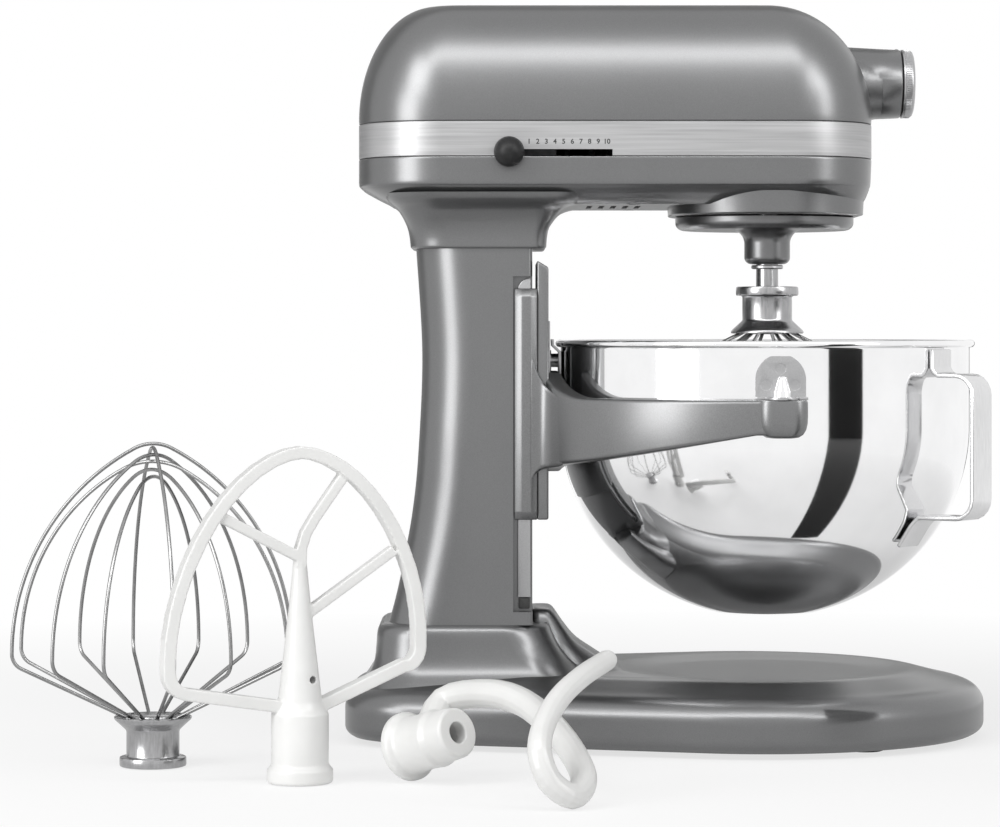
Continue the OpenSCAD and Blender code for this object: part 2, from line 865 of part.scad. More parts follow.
module hub_cap() {
  color([0.8, 0.8, 0.82])
    difference() {
      union() {
        rod_x(cap_x0, cap_x0 + cap_t - 1.6, cap_r, 0, hub_z);
        translate([cap_x0 + cap_t - 1.6, 0, hub_z])
          rotate([0, 90, 0])
            cylinder(h = 1.6, r1 = cap_r, r2 = cap_r - 2.4);
        block([hinge_x, -knuckle_half, hinge_z - knuckle_r], [cap_x0 + 1, knuckle_half, hinge_z + 1]);
        rod_y(-knuckle_half, knuckle_half, knuckle_r, hinge_x, hinge_z);
      }
      rod_y(-knuckle_half - over, knuckle_half + over, hinge_pin_r + run, hinge_x, hinge_z);
      rod_x(cap_x0 - over, cap_x0 + 2.4, cap_r - 5, 0, hub_z);
      for (i = [0 : 35])
        translate([0, 0, hub_z])
          rotate([i * 10 + 5, 0, 0])
            rod_x(cap_x0 + 1.4, cap_x0 + cap_t + over, 0.7, 0, cap_r + 0.3);
    }
}

module attachment_knob() {
  color([0.08, 0.08, 0.08])
    difference() {
      union() {
        rod_y(hub_bore_r + 0.8, thumb_boss_y + 3, thumb_screw_r, thumb_x, hub_z);
        rod_y(thumb_boss_y + 0.4, thumb_boss_y + 4, 7, thumb_x, hub_z);
        rod_y(thumb_boss_y + 4, thumb_boss_y + 15, 12, thumb_x, hub_z);
      }
      for (i = [0 : 7])
        translate([thumb_x, 0, hub_z])
          rotate([0, i * 45, 0])
            rod_y(thumb_boss_y + 5, thumb_boss_y + 16, 2.2, 13, 0);
    }
}

module cable_gland() {
  color([0.08, 0.08, 0.08])
    difference() {
      union() {
        rod_y(head_half - wall - 2, head_half + 5, gland_r, gland_x, gland_z);
        rod_y(head_half + seat, head_half + 2.5, gland_r + 3, gland_x, gland_z);
      }
      rod_y(head_half - wall - 3, head_half + 6, 3.4, gland_x, gland_z);
    }
}

// ---------- speed control ----------

module speed_arm() {
  color([0.3, 0.3, 0.32]) {
    rod_y(-head_half - 7, -head_half + 8, stem_r, knob_x, stem_z);
    block([knob_x - 4, 6.5 - head_half, band_bottom + slip], [knob_x + 4, board_y - 4, band_bottom + 22]);
  }
}

module speed_knob() {
  color([0.06, 0.06, 0.06])
    difference() {
      translate([knob_x, -head_half - knob_r - 2.4, stem_z]) sphere(knob_r);
      rod_y(-head_half - 7.1, -head_half, stem_r + press, knob_x, stem_z);
    }
}

module control_board() {
  color([0.1, 0.35, 0.2]) {
    block([knob_x - 12, board_y - 1.6 + seat, band_top - 4], [knob_x + 74, board_y, band_top + 30]);
    block([knob_x + 4, board_y - 0.01, band_top + 2], [knob_x + 24, board_y + 12, band_top + 22]);
    rod_y(board_y - 0.01, board_y + 16, 7, knob_x + 44, band_top + 12);
  }
}

// ---------- motor and gear train ----------

module motor_stator() {
  color([0.42, 0.43, 0.45])
    difference() {
      union() {
        intersection() {
          rod_x(stator_x0, stator_x1, stator_r, 0, motor_z);
          block(
            [stator_x0, 4 - stator_r, motor_z - stator_r],
            [stator_x1, stator_r - 4, motor_z + stator_r]
          );
        }
        for (z = [-1, 1])
          intersection() {
            rod_x(stator_x0 - coil_l, stator_x1 + coil_l, stator_r - 5, 0, motor_z);
            block(
              [stator_x0 - coil_l, -20, motor_z + (z > 0 ? armature_r : -stator_r)],
              [stator_x1 + coil_l, 20, motor_z + (z > 0 ? stator_r : -armature_r)]
            );
          }
      }
      rod_x(stator_x0 - coil_l - over, stator_x1 + coil_l + over, armature_r + 0.6, 0, motor_z);
      for (y = [-1, 1], z = [-1, 1])
        rod_x(
          stator_x0 - over, stator_x1 + over, tie_rod_r + press,
          y * tie_rod_at, motor_z + z * tie_rod_at
        );
    }
}

module motor_bracket(x) {
  difference() {
    union() {
      rod_x(x, x + bracket_wall, stator_r, 0, motor_z);
      block([x, -motor_foot_half, case_floor + seat], [x + bracket_wall, motor_foot_half, motor_z]);
      rod_x(x - 3, x + bracket_wall + 3, motor_shaft_r + 5, 0, motor_z);
    }
    rod_x(x - 4, x + bracket_wall + 4, motor_shaft_r + run, 0, motor_z);
    for (a = [45 : 90 : 315])
      translate([0, 0, motor_z])
        rotate([a + 45, 0, 0])
          rod_x(x - over, x + bracket_wall + over, 6, 0, 20);
  }
}

module motor_brackets() {
  color([0.68, 0.69, 0.7]) {
    difference() {
      union() {
        motor_bracket(front_bracket_x);
        motor_bracket(rear_bracket_x);
        both_sides()
          block(
            [rear_bracket_x + 4, 24, motor_z - brush_r - 3],
            [brush_x + brush_r + 3, 33, motor_z + brush_r + 3]
          );
      }
      both_sides()
        rod_y(22, 34, brush_r + press, brush_x, motor_z);
    }
    for (y = [-1, 1], z = [-1, 1])
      rod_x(rear_bracket_x + 2, front_bracket_x + 2, tie_rod_r, y * tie_rod_at, motor_z + z * tie_rod_at);
  }
}

module brush_holders() {
  color([0.75, 0.6, 0.3])
    both_sides()
      rod_y(commutator_r + slip, 36, brush_r, brush_x, motor_z);
}

module armature() {
  color([0.6, 0.5, 0.4]) {
    rod_x(rear_bracket_x - 4, front_bracket_x + 10, motor_shaft_r, 0, motor_z);
    rod_x(front_bracket_x + 10 - seat, wheel_x + 26, worm_shaft_r, 0, motor_z);
    rod_x(stator_x0 + 2, stator_x1 - 2, armature_r, 0, motor_z);
    rod_x(stator_x0 - coil_l + 2, stator_x1 + coil_l - 2, armature_r - 4, 0, motor_z);
    rod_x(brush_x - commutator_l / 2, brush_x + commutator_l / 2, commutator_r, 0, motor_z);
  }
}

fan_x = stator_x1 + coil_l + 2;
fan_l = 10;
fan_r = 27;
fan_blades = 10;
module cooling_fan() {
  color([0.15, 0.15, 0.16])
    difference() {
      union() {
        rod_x(fan_x, fan_x + 2, fan_r, 0, motor_z);
        rod_x(fan_x, fan_x + fan_l, motor_shaft_r + 3, 0, motor_z);
        for (i = [0 : fan_blades - 1])
          translate([0, 0, motor_z])
            rotate([i * 360 / fan_blades, 0, 0])
              block([fan_x + 1.5, -0.8, fan_r - 17], [fan_x + fan_l, 0.8, fan_r - 0.5]);
      }
      rod_x(fan_x - over, fan_x + fan_l + over, motor_shaft_r + press, 0, motor_z);
    }
}

worm_root = 4.4;
worm_tip = worm_r + 0.5 * train_module;
worm_phase = 105;
// outline of one thread: [angle, radius]
worm_lobe = [
  [-39, worm_root], [-18, worm_tip], [0, worm_tip], [18, worm_tip], [39, worm_root], [90, worm_root]
];
module worm() {
  color([0.6, 0.6, 0.63])
    translate([wheel_x - worm_l / 2, 0, motor_z])
      rotate([0, 90, 0])
        rotate(worm_phase)
        difference() {
          linear_extrude(worm_l, twist = -360 * worm_l / worm_lead, slices = 60, $fn = 12)
            polygon([for (turn = [0, 180], p = worm_lobe) p[1] * [cos(p[0] + turn), sin(p[0] + turn)]]);
          rod_z(-over, worm_l + over, worm_shaft_r + press);
        }
}

wheel_twist = worm_lead / (2 * PI * worm_r) * wheel_t / wheel_r * 180 / PI;
module worm_wheel() {
  color([0.75, 0.6, 0.35])
    translate([wheel_x, wheel_y, motor_z - wheel_t / 2])
      difference() {
        union() {
          linear_extrude(wheel_t, twist = wheel_twist, slices = 2, $fn = 12)
            polygon(gear_points(
              wheel_teeth, wheel_r - 1.2 * train_module, wheel_r + 0.5 * train_module, 0.9, 0.38
            ));
          rod_z(-4, wheel_t + 2, 8);
        }
        rod_z(-5, wheel_t + 3, inter_r + press);
      }
}

module intermediate_shaft() {
  color([0.6, 0.6, 0.63]) {
    rod_z(inter_z0, motor_z + 8, inter_r, wheel_x, wheel_y);
    translate([wheel_x, wheel_y, centre_z0 - 0.5])
      rotate(train_angle + 180)
        linear_extrude(centre_t + 1)
          polygon(spur(drive_teeth, train_module));
  }
}

module centre_gear() {
  color([0.62, 0.62, 0.64])
    translate([axis_x, 0, centre_z0])
      difference() {
        rotate(train_angle + 180 / centre_teeth)
          linear_extrude(centre_t)
            polygon(spur(centre_teeth, train_module));
        rod_z(-over, centre_t + over, shaft_r + press);
        for (i = [0 : 5])
          rotate(i * 60)
            rod_z(-over, centre_t + over, 9, 26, 0);
      }
}

module mitre_gear() {
  linear_extrude(mitre_t, scale = (mitre_r - mitre_t) / mitre_r)
    polygon(spur(mitre_teeth, 2 * mitre_r / mitre_teeth));
}

module planetary_shaft() {
  color([0.6, 0.6, 0.63])
    translate([axis_x, 0, 0]) {
      rod_z(dish_z0 + 2, hub_z - mitre_r + 1, shaft_r);
      translate([0, 0, hub_z - mitre_r]) mitre_gear();
      rod_z(hub_z - mitre_r - 5, hub_z - mitre_r + seat, 10);
    }
}

// square socket for the shaft of an attachment
socket_half = 4;
module hub_shaft() {
  color([0.6, 0.6, 0.63])
    difference() {
      translate([0, 0, hub_z]) {
        translate([axis_x + mitre_r, 0, 0])
          rotate([0, -90, 0])
            rotate(180 / mitre_teeth)
              mitre_gear();
        rod_x(axis_x + mitre_r - seat, axis_x + mitre_r + 4, 10);
        rod_x(axis_x + mitre_r, sleeve_x0 - socket_l, shaft_r);
        rod_x(sleeve_x0 - socket_l - 0.5, sleeve_x0 - slip, hub_pocket_r - 1.5);
      }
      block(
        [sleeve_x0 - socket_l, -socket_half, hub_z - socket_half],
        [sleeve_x0 + over, socket_half, hub_z + socket_half]
      );
    }
}

module gear_bracket() {
  color([0.68, 0.69, 0.7])
    difference() {
      union() {
        difference() {
          slab([for (p = bracket_posts) [p.x, p.y, boss_r + 1]], bracket_z0, bracket_z0 + bracket_t);
          rod_z(bracket_z0 - over, bracket_z0 + bracket_t + over, 14, axis_x, 34);
          rod_z(bracket_z0 - over, bracket_z0 + bracket_t + over, 14, axis_x, -34);
        }
        rod_z(bracket_z0, bracket_z0 + bracket_t + 7, 12, axis_x);
        block([wheel_x + 17, -9, bracket_z0], [wheel_x + 23, 7, motor_z]);
        rod_x(wheel_x + 17, wheel_x + 23, 8, -1, motor_z);
      }
      rod_z(bracket_z0 - over, bracket_z0 + bracket_t + 8, shaft_r + run, axis_x);
      rod_z(bracket_z0 - over, bracket_z0 + bracket_t + over, inter_r + run, wheel_x, wheel_y);
      rod_x(wheel_x + 16, wheel_x + 24, worm_shaft_r + run, 0, motor_z);
      for (p = bracket_posts)
        rod_z(bracket_z0 - over, bracket_z0 + bracket_t + over, screw_r + slip, p.x, p.y);
    }
}

module planetary_bearing() {
  color([0.75, 0.6, 0.35])
    difference() {
      union() {
        rod_z(gear_ceiling + seat, gear_floor_top, shaft_r + 4.98, axis_x);
        rod_z(gear_floor_top + seat, gear_floor_top + 2, shaft_r + 8, axis_x);
        rod_z(gear_floor_top - over, gear_floor_top + over, shaft_r + 4.98, axis_x);
      }
      rod_z(gear_ceiling - over, gear_floor_top + 3, shaft_r + run, axis_x);
    }
}

module ring_gear() {
  color([0.6, 0.6, 0.63])
    translate([axis_x, 0, 0])
      difference() {
        rod_z(pinion_z0 - 0.5, gear_ceiling - seat, skirt_bore_r - 0.03);
        translate([0, 0, pinion_z0 - over])
          linear_extrude(pinion_t + 4)
            polygon(gear_points(
              ring_teeth, ring_pitch_r - 0.85 * ring_module, ring_pitch_r + 1.25 * ring_module, 1.5, 0.7
            ));
      }
}

module planet_carrier() {
  color([0.86, 0.86, 0.88])
    difference() {
      union() {
        translate([axis_x, 0, 0])
          rotate_extrude()
            polygon(concat(
              [[0, dish_z0], [dish_r - 5, dish_z0]],
              arc([dish_r - 4, dish_z0 + 4], 4, -75, 0, 5),
              [[dish_r, dish_z1], [24, dish_z1], [18, carrier_hub_top], [0, carrier_hub_top]]
            ));
        translate([axis_x, beater_y, 0])
          rotate_extrude()
            polygon(concat(
              [[0, stub_z0]],
              arc([stub_half - 4, stub_z0 + 4], 4, -90, 0, 5),
              reversed(arc([stub_half + 8, dish_z0 - 8], 8, 90, 180, 5)),
              [[stub_half + 8, dish_z0 + 1], [0, dish_z0 + 1]]
            ));
      }
      rod_z(dish_z0 + 2, carrier_hub_top + over, shaft_r + press, axis_x);
      rod_z(stub_z0 - over, carrier_hub_top + over, beater_shaft_r + run, axis_x, beater_y);
    }
}

// ---------- beater shaft and tools ----------

module beater_pinion() {
  color([0.6, 0.6, 0.63])
    translate([axis_x, beater_y, pinion_z0])
      difference() {
        rotate(-90)
          linear_extrude(pinion_t)
            polygon(spur(pinion_teeth, ring_module));
        rod_z(-over, pinion_t + over, beater_shaft_r + press);
      }
}

shaft_end_z = tool_z - tool_hub_l + 7;
tool_pin_r = 2;
tool_pin_z = tool_z - 11;
module beater_shaft() {
  color([0.8, 0.8, 0.82]) {
    rod_z(shaft_end_z, pinion_z0 + pinion_t, beater_shaft_r, axis_x, beater_y);
    rod_z(pinion_z0 - 1.2, pinion_z0 - seat, beater_shaft_r + 2, axis_x, beater_y);
    translate([0, beater_y, 0]) rod_y(-11.5, 11.5, tool_pin_r, axis_x, tool_pin_z);
  }
}

module beater_washer() {
  color([0.75, 0.75, 0.77])
    difference() {
      rod_z(stub_z0 - 2.8, stub_z0 - 0.5, 9.2, axis_x, beater_y);
      rod_z(stub_z0 - 3.8, stub_z0 + over, beater_shaft_r + press, axis_x, beater_y);
    }
}

// Socket of a tool: bore for the beater shaft, with the turned slot for its cross pin
module tool_socket(depth, closed_top) {
  rod_z(-over, depth, beater_shaft_r + 0.12);
  if (closed_top)
    rod_z(depth - over, depth + 1.6, beater_shaft_r - 2);
  block([-tool_pin_r - 0.3, -12.2, -over], [tool_pin_r + 0.3, 12.2, 11 + tool_pin_r + 0.3]);
}

whip_cup_r = 21;
drum_r = 13;
wire_end_r = drum_r - 1;
cup_z = tool_hub_l - 5;
wire_z = cup_z + 3.2;
// Wire whip hub standing on its flange
module whip_hub_form() {
  difference() {
    rotate_extrude()
      polygon([
        [0, 0],
        [flange_r - 0.6, 0],
        [flange_r, 0.8],
        [flange_r, 4.4],
        [flange_r - 0.8, 5.2],
        [barrel_r, 5.2],
        [barrel_r, cup_z - 2.5],
        [whip_cup_r, tool_hub_l - 0.4],
        [whip_cup_r - 0.8, tool_hub_l + 0.1],
        [whip_cup_r - 4.8, cup_z + 1],
        [drum_r, cup_z + 1],
        [drum_r, wire_z + 1.7],
        [drum_r - 0.8, wire_z + 2.3],
        [0, wire_z + 2.3]
      ]);
    tool_socket(cup_z - 2, false);
  }
}

elbow_z = 62;
elbow_r = 9;
dome_angle = 62;
dome_share = 1 / cos(dome_angle) - tan(dome_angle);
whip_l = tool_z - bowl_z0 - whip_gap;
// loops of the whip: [turn about the axis, how far the loop's tip stays inside the longest one's]
loops = [[14, 0], [52, 6], [76, 17.8], [104, 2.2], [128, 14], [166, 9.6]];
elbow_x = whip_r - elbow_r;
leg_reach = norm([elbow_x - wire_end_r, elbow_z - wire_z]);
leg_angle = atan2(elbow_z - wire_z, elbow_x - wire_end_r) - asin(elbow_r / leg_reach);

// Centre line of one loop in X and Z, from one end in the hub over the top to the other
function half_loop(side_r, top_r) = concat(
  [[wire_end_r, wire_z]],
  arc([elbow_x, elbow_z], elbow_r, leg_angle - 90, 0, 4),
  [for (p = arc([whip_r - side_r, elbow_z], side_r, 0, dome_angle, 8)) if (p.y > elbow_z) p],
  let (top_z = elbow_z + (side_r - whip_r) * tan(dome_angle))
  [for (i = [1 : 3])
    let (a = dome_angle + (90 - dome_angle) * i / 3)
    [top_r * cos(a), top_z + top_r * sin(a)]]
);

// Rod of radius r along a path in X and Z
module bent_rod(path, r, sides) {
  last = len(path) - 1;
  loft([
    for (i = [0 : last])
      let (along = unit(path[min(i + 1, last)] - path[max(i - 1, 0)]))
      [for (k = [0 : sides - 1])
        let (a = 360 * k / sides)
        [path[i].x - along.y * r * cos(a), -r * sin(a), path[i].y + along.x * r * cos(a)]]
  ]);
}

module whip_loop(tip) {
  rise = tip - elbow_z;
  side_r = (rise - whip_r * dome_share) / (1 - dome_share);
  top_r = side_r - (side_r - whip_r) / cos(dome_angle);
  half = half_loop(side_r, top_r);
  bent_rod(concat(half, [for (i = [len(half) - 2 : -1 : 0]) [-half[i].x, half[i].y]]), wire_r, 8);
}

module whip_wires_form() {
  for (loop = loops)
    rotate(loop[0])
      whip_loop(whip_l - loop[1]);
}

module mounted() {
  translate([axis_x, beater_y, tool_z])
    rotate([180, 0, 0])
      children();
}

whip_turn = 0;
module whip_hub() {
  color([0.8, 0.8, 0.82]) mounted() whip_hub_form();
}
module whip_wires() {
  color([0.82, 0.82, 0.84]) mounted() rotate(whip_turn) whip_wires_form();
}

spare_at = [-284, -156, 0];
spare_turn = 0;
module spare_whip_hub() {
  color([0.8, 0.8, 0.82]) translate(spare_at) rotate(spare_turn) whip_hub_form();
}
module spare_whip_wires() {
  color([0.82, 0.82, 0.84]) translate(spare_at) rotate(spare_turn) whip_wires_form();
}

beater_at = [-200.6, -226, 0];
beater_turn = 20;
left_level = 66;
right_level = 78;
right_share = 0.92;
bar_inset = beater_bar_w / 2;
// Half of the beater's outline, from its widest level to its top
function leaf(side, half, level, power, steps) = [
  for (i = [0 : steps])
    let (a = 90 * i / steps)
    [
      side * (half - bar_inset) * pow(cos(a), 2 / power),
      level + (beater_h - level - bar_inset) * pow(sin(a), 2 / power)
    ]
];
corner_r = 11;
frame_path = concat(
  [[11, 40], [beater_half * right_share - bar_inset - 9, 59]],
  arc([beater_half * right_share - bar_inset - corner_r, 69], corner_r, -60, 0, 4),
  leaf(1, beater_half * right_share, right_level, 1.8, 12),
  [for (i = [11 : -1 : 0]) leaf(-1, beater_half, left_level, 1.75, 12)[i]],
  arc([bar_inset + corner_r - beater_half, 59], corner_r, 180, 258, 5),
  [[-11, 40]]
);
strut_l = [[-43, 139], [0, 117]];
strut_r = [[4, 88], [51, 120]];
strut_up = [[0, 112], [0.4, 122], [3, 130], [8, 138], [24, 160]];

// half profile of the beater's hub and tapering stem
beater_stem = [
  [0, 0], [flange_r - 1.6, 0], [flange_r - 0.7, 1.2], [flange_r - 0.7, 7], [flange_r - 2.4, 9],
  [15, 9.4], [15, 36], [13, 38.5], [11.6, 42], [6, 90], [3.8, 112], [3.4, 118], [0, 119.5]
];
strut_w = 5.4;
strut_d = beater_bar_d - 3;

module flat_beater() {
  color([0.92, 0.92, 0.91])
    translate(beater_at)
      rotate(beater_turn)
        difference() {
          union() {
            rotate_extrude()
              polygon(beater_stem);
            upright(strap(frame_path, beater_bar_w), beater_bar_d);
            upright(strap(strut_l, strut_w), strut_d);
            upright(strap(strut_r, strut_w), strut_d);
            upright(strap(strut_up, strut_w), strut_d);
          }
          tool_socket(34, true);
          rod_y(-20, 20, 1.9, 4.4, 54);
        }
}

hook_at = [-146, -216, 17.01];
hook_points = [
  [-134, -228, 24], [-126, -205, 40], [-102, -222, 46], [-84, -242, 43], [-70, -268, 34],
  [-59, -295, 22], [-55, -314, 12], [-61, -328, 6.55], [-72, -333, 14.5], [-77, -330, 28],
  [-75, -320, 40], [-67, -303, 52], [-55, -283, 61], [-42, -262, 67]
];
hook_steps = 4;
hook_last = (len(hook_points) - 1) * hook_steps;

// Smooth curve through points: value at step i
function through(points, i) =
  let (
    n = len(points) - 1,
    k = min(floor(i / hook_steps), n - 1),
    t = i / hook_steps - k,
    a = points[max(k - 1, 0)],
    b = points[k],
    c = points[k + 1],
    d = points[min(k + 2, n)]
  )
  0.5 * (2 * b + (c - a) * t + (2 * a - 5 * b + 4 * c - d) * t * t + (3 * b - a - 3 * c + d) * t * t * t);

hook_path = [for (i = [0 : hook_last]) through(hook_points, i)];
hook_along = [for (i = [0 : hook_last]) unit(hook_path[min(i + 1, hook_last)] - hook_path[max(i - 1, 0)])];
function turned(v, i) = i > hook_last ? v : unit(v - (v * hook_along[i]) * hook_along[i]);
hook_across = [
  for (i = 0, v = unit(cross(hook_along[0], [0, 0, 1])); i <= hook_last; i = i + 1, v = turned(v, i))
  v
];
// ends of the rod: [step along the path, share of the radius]
hook_end = [[0, 1], [0.5, 0.88], [0.85, 0.55], [1, 0.2]];
hook_sides = 14;
function hook_ring(i, shift, r) =
  let (u = hook_across[i], v = cross(hook_along[i], hook_across[i]))
  [for (k = [0 : hook_sides - 1])
    let (a = k * 360 / hook_sides)
    hook_path[i] + hook_along[i] * shift + r * (u * cos(a) + v * sin(a))];

// half profile of the hook's hub
hook_hub = [
  [0, 0], [flange_r - 0.8, 0], [flange_r, 1.2], [flange_r, 4.4], [flange_r - 1.4, 6], [15.6, 6.6],
  [15, 8.4], [14.6, 18], [15.2, 26], [13.8, 29.4], [13.2, 40], [12.2, 41], [0, 41]
];

module hook_hub_place() {
  translate(hook_at)
    rotate([0, 0, -45])
      rotate([0, 74.3, 0])
        children();
}

module dough_hook() {
  color([0.92, 0.92, 0.91])
    difference() {
      union() {
        hook_hub_place()
          rotate_extrude()
            polygon(hook_hub);
        loft(concat(
          [for (i = [0 : hook_last - 1]) hook_ring(i, 0, hook_r + (hook_tip_r - hook_r) * i / hook_last)],
          [for (e = hook_end) hook_ring(hook_last, e[0] * hook_tip_r, e[1] * hook_tip_r)]
        ));
      }
      hook_hub_place() {
        tool_socket(34, true);
        rod_z(33, 42, 5.6);
      }
    }
}

// ---------- bowl ----------

// Profile of the bowl's outside, grown or shrunk by d, from the middle of its bottom to its straight wall
function bowl_curve(d) =
  let (a0 = acos(bowl_flat_r / bowl_r))
  concat(
    [[0, bowl_z0 - d]],
    [for (i = [0 : 14])
      let (a = a0 * (1 - i / 14))
      [(bowl_r + d) * cos(a), wall_z - (wall_z - bowl_z0 + d) * sin(a) / sin(a0)]]
  );

module mixing_bowl() {
  color([0.86, 0.86, 0.87])
    translate([axis_x, 0, 0])
      rotate_extrude() {
        polygon(concat(
          bowl_curve(0),
          [[bowl_r, rim_z], [bowl_r - bowl_wall, rim_z]],
          reversed(bowl_curve(-bowl_wall))
        ));
        translate([bowl_r + 0.9, rim_z]) circle(rim_tube, $fn = 24);
      }
}

handle_a = -39;
strap_r = bowl_r + seat + handle_t / 2;
grip_r = bowl_r + handle_out - handle_t / 2;
grip_z1 = rim_z - 16.4;
grip_z0 = grip_z1 - 82.5;
strap_bend = 11;
spot_r = 3;
// foot of the handle, laid along the curve of the bowl
function bowl_radius(z) =
  bowl_r * sqrt(1 - pow((wall_z - z) / (wall_z - bowl_z0) * sin(acos(bowl_flat_r / bowl_r)), 2));
foot_z1 = grip_z0 - 3;
foot_z0 = grip_z0 - 15;
handle_foot = [for (z = [foot_z1, foot_z0]) [bowl_radius(z) + handle_t / 2 + 1.1, z - 0.6]];
bend_x = grip_r - strap_bend;
bend_z1 = grip_z1 - handle_t / 2 - strap_bend;
bend_z0 = grip_z0 + handle_t / 2 + strap_bend;
handle_path = concat(
  [
    [strap_r, rim_z - 3],
    [strap_r, grip_z1 + 3],
    [strap_r + 1.6, grip_z1 + 0.4],
    [strap_r + 4, grip_z1 - handle_t / 2]
  ],
  reversed(arc([bend_x, bend_z1], strap_bend, 0, 90, 5)),
  reversed(arc([bend_x, bend_z0], strap_bend, -90, 0, 5)),
  [[handle_foot[0].x + 5, grip_z0 + handle_t / 2]],
  handle_foot
);

module on_bowl(a) {
  translate([axis_x, 0, 0]) rotate(a) children();
}

module bowl_handle() {
  color([0.84, 0.84, 0.86])
    on_bowl(handle_a)
      upright(strap(handle_path, handle_t), handle_w);
}

tab_w = 28;
tab_t = 1.5;
tab_y0 = bowl_r + seat;
tab_z1 = arm_z1 + 25;
pin_top_r = 2.2;
pin_l = 13;
pin_straight = 4;
pin_root_l = 10;
pin_root_r = bowl_pin_r - 1.1;

module bowl_side_brackets() {
  color([0.84, 0.84, 0.86])
    both_sides()
      difference() {
        union() {
          intersection() {
            union() {
              block(
                [axis_x - tab_w / 2, tab_y0, arm_z1 + seat],
                [axis_x + tab_w / 2, tab_y0 + tab_t, tab_z1 - tab_w / 2]
              );
              rod_y(tab_y0, tab_y0 + tab_t, tab_w / 2, axis_x, tab_z1 - tab_w / 2);
            }
            block([axis_x - tab_w / 2, 0, arm_z1 + seat], [axis_x + tab_w / 2, pin_y + 20, tab_z1 - 1]);
          }
          block(
            [axis_x - tab_w / 2, tab_y0, arm_z1 + seat],
            [axis_x + tab_w / 2, pin_y + 2, arm_z1 + seat + tab_t]
          );
          rod_z(arm_z1 + seat, arm_z1 + seat + tab_t, 9.5, axis_x, pin_y);
        }
        rod_z(arm_z1 - over, arm_z1 + 4, bowl_pin_r + slip, axis_x, pin_y);
        for (p = [[-8, 8], [8, 8], [0, 17]])
          rod_y(tab_y0 + tab_t - 0.5, tab_y0 + tab_t + over, spot_r, axis_x + p.x, arm_z1 + p.y);
      }
}

button_z = arm_z1 + 20.5;
leaf_x1 = plate_x1 + 1.4;
rear_x = axis_x - bowl_r - seat - tab_t / 2;
rear_path = [
  [rear_x, arm_z1 + 7],
  [rear_x, rim_z - rim_tube - 2.8],
  [rear_x - 4, rim_z - 1],
  [rear_x - 4.2, rim_z + 2.4]
];
rear_half = 16;
button_x0 = plate_x1 + 0.6;
module bowl_rear_bracket() {
  color([0.84, 0.84, 0.86]) {
    upright(strap(rear_path, tab_t), 2 * rear_half);
    rod_x(button_x0 + 1.4, rear_x, 4, 0, button_z);
    rod_x(button_x0, button_x0 + 1.6, 6, 0, button_z);
  }
}

// ---------- bowl lift ----------

arm_fillet = 24;
arm_fillet_x = column_x1 + 33;
arm_end_x = axis_x + cup_r / 2;
// the arms' roots start where their outer face meets the front of the plate
arm_root_y = sqrt(pow(arm_out, 2) - pow(axis_x - plate_x1, 2)) - 4;
// side view of an arm, from its root at the plate out to its tip and back over the fillet
arm_profile = concat(
  [
    [plate_x0, arm_z1 - arm_root_h + 2],
    [axis_x - cup_r, arm_z1 - arm_tip_h],
    [arm_end_x, arm_z1 - arm_tip_h],
    [arm_end_x, arm_z1],
    [arm_fillet_x, arm_z1]
  ],
  arc([arm_fillet_x, arm_z1 + arm_fillet], arm_fillet, -90, -170, 5),
  [[plate_x0, arm_z1 + arm_fillet + 8]]
);
cup_half = arm_t / 2 + 2.5;
// rows of a cup at the tip of an arm: [level below the arm's top, inset of the outline]
cup_rows = [[-21, 7.6], [-20.4, 4.8], [-19, 2.6], [-16.4, 1], [-13, 0.2], [-9, 0], [0, 0]];

// side views of the ears that run on the rails and of the plate's slanted top
ear_slant = 7;
ear_profile = [
  [plate_x0 + over, ear_z0],
  [plate_x0 - 8, ear_z0],
  [ear_x0, ear_z0 + ear_slant],
  [ear_x0, ear_z1 - ear_slant],
  [plate_x0 - 8, ear_z1],
  [plate_x0 + over, ear_z1]
];
plate_tip = [
  [plate_x0, carriage_z1 - 7],
  [plate_x1, carriage_z1 - 7],
  [plate_x1, carriage_z1 - 4],
  [plate_x0, carriage_z1]
];
bolt_step = 6;

module lift_carriage() {
  color([0.55, 0.56, 0.57])
    difference() {
      union() {
        intersection() {
          difference() {
            rod_z(ear_z0, carriage_z1, arm_out, axis_x);
            rod_z(ear_z0 - over, carriage_z1 + over, arm_in, axis_x);
          }
          upright(arm_profile, 2 * arm_out + 10);
          difference() {
            block([plate_x0, -arm_out - over, ear_z0], [axis_x + cup_r, arm_out + over, carriage_z1]);
            block(
              [plate_x1, -arm_root_y, ear_z0 - over],
              [axis_x + cup_r + over, arm_root_y, carriage_z1 + over]
            );
          }
        }
        block([plate_x0, -ear_half, ear_z0], [plate_x1, ear_half, carriage_z1 - 6]);
        upright(plate_tip, 2 * ear_half - 16);
        both_sides()
          upright(ear_profile, ear_half - rail_y - slip, (ear_half + rail_y + slip) / 2);
        both_sides()
          translate([axis_x, pin_y, arm_z1])
            loft([for (row = cup_rows)
              let (half = cup_half - 0.6 * row[1])
              ring_points(
                box_circles(row[1] - cup_r, cup_r - row[1], half, half - 0.1, half - 0.1),
                row[0]
              )]);
      }
      both_sides()
        block(
          [rail_x0 - slip, rail_y - over, ear_z0 - over],
          [rail_x1 + slip, rail_y + rail_t + slip, ear_z1 + over]
        );
      both_sides()
        rod_z(arm_z1 - pin_root_l, arm_z1 + over, pin_root_r + press, axis_x, pin_y);
      for (step = [-bolt_step, bolt_step]) {
        rod_x(plate_x0 - over, plate_x1 + over, screw_r + press, yoke_y0 + yoke_t / 2, crank_pin_z + step);
        rod_x(plate_x1 - 4, plate_x1 + over, screw_r + press, 0, latch_z + step);
      }
    }
}

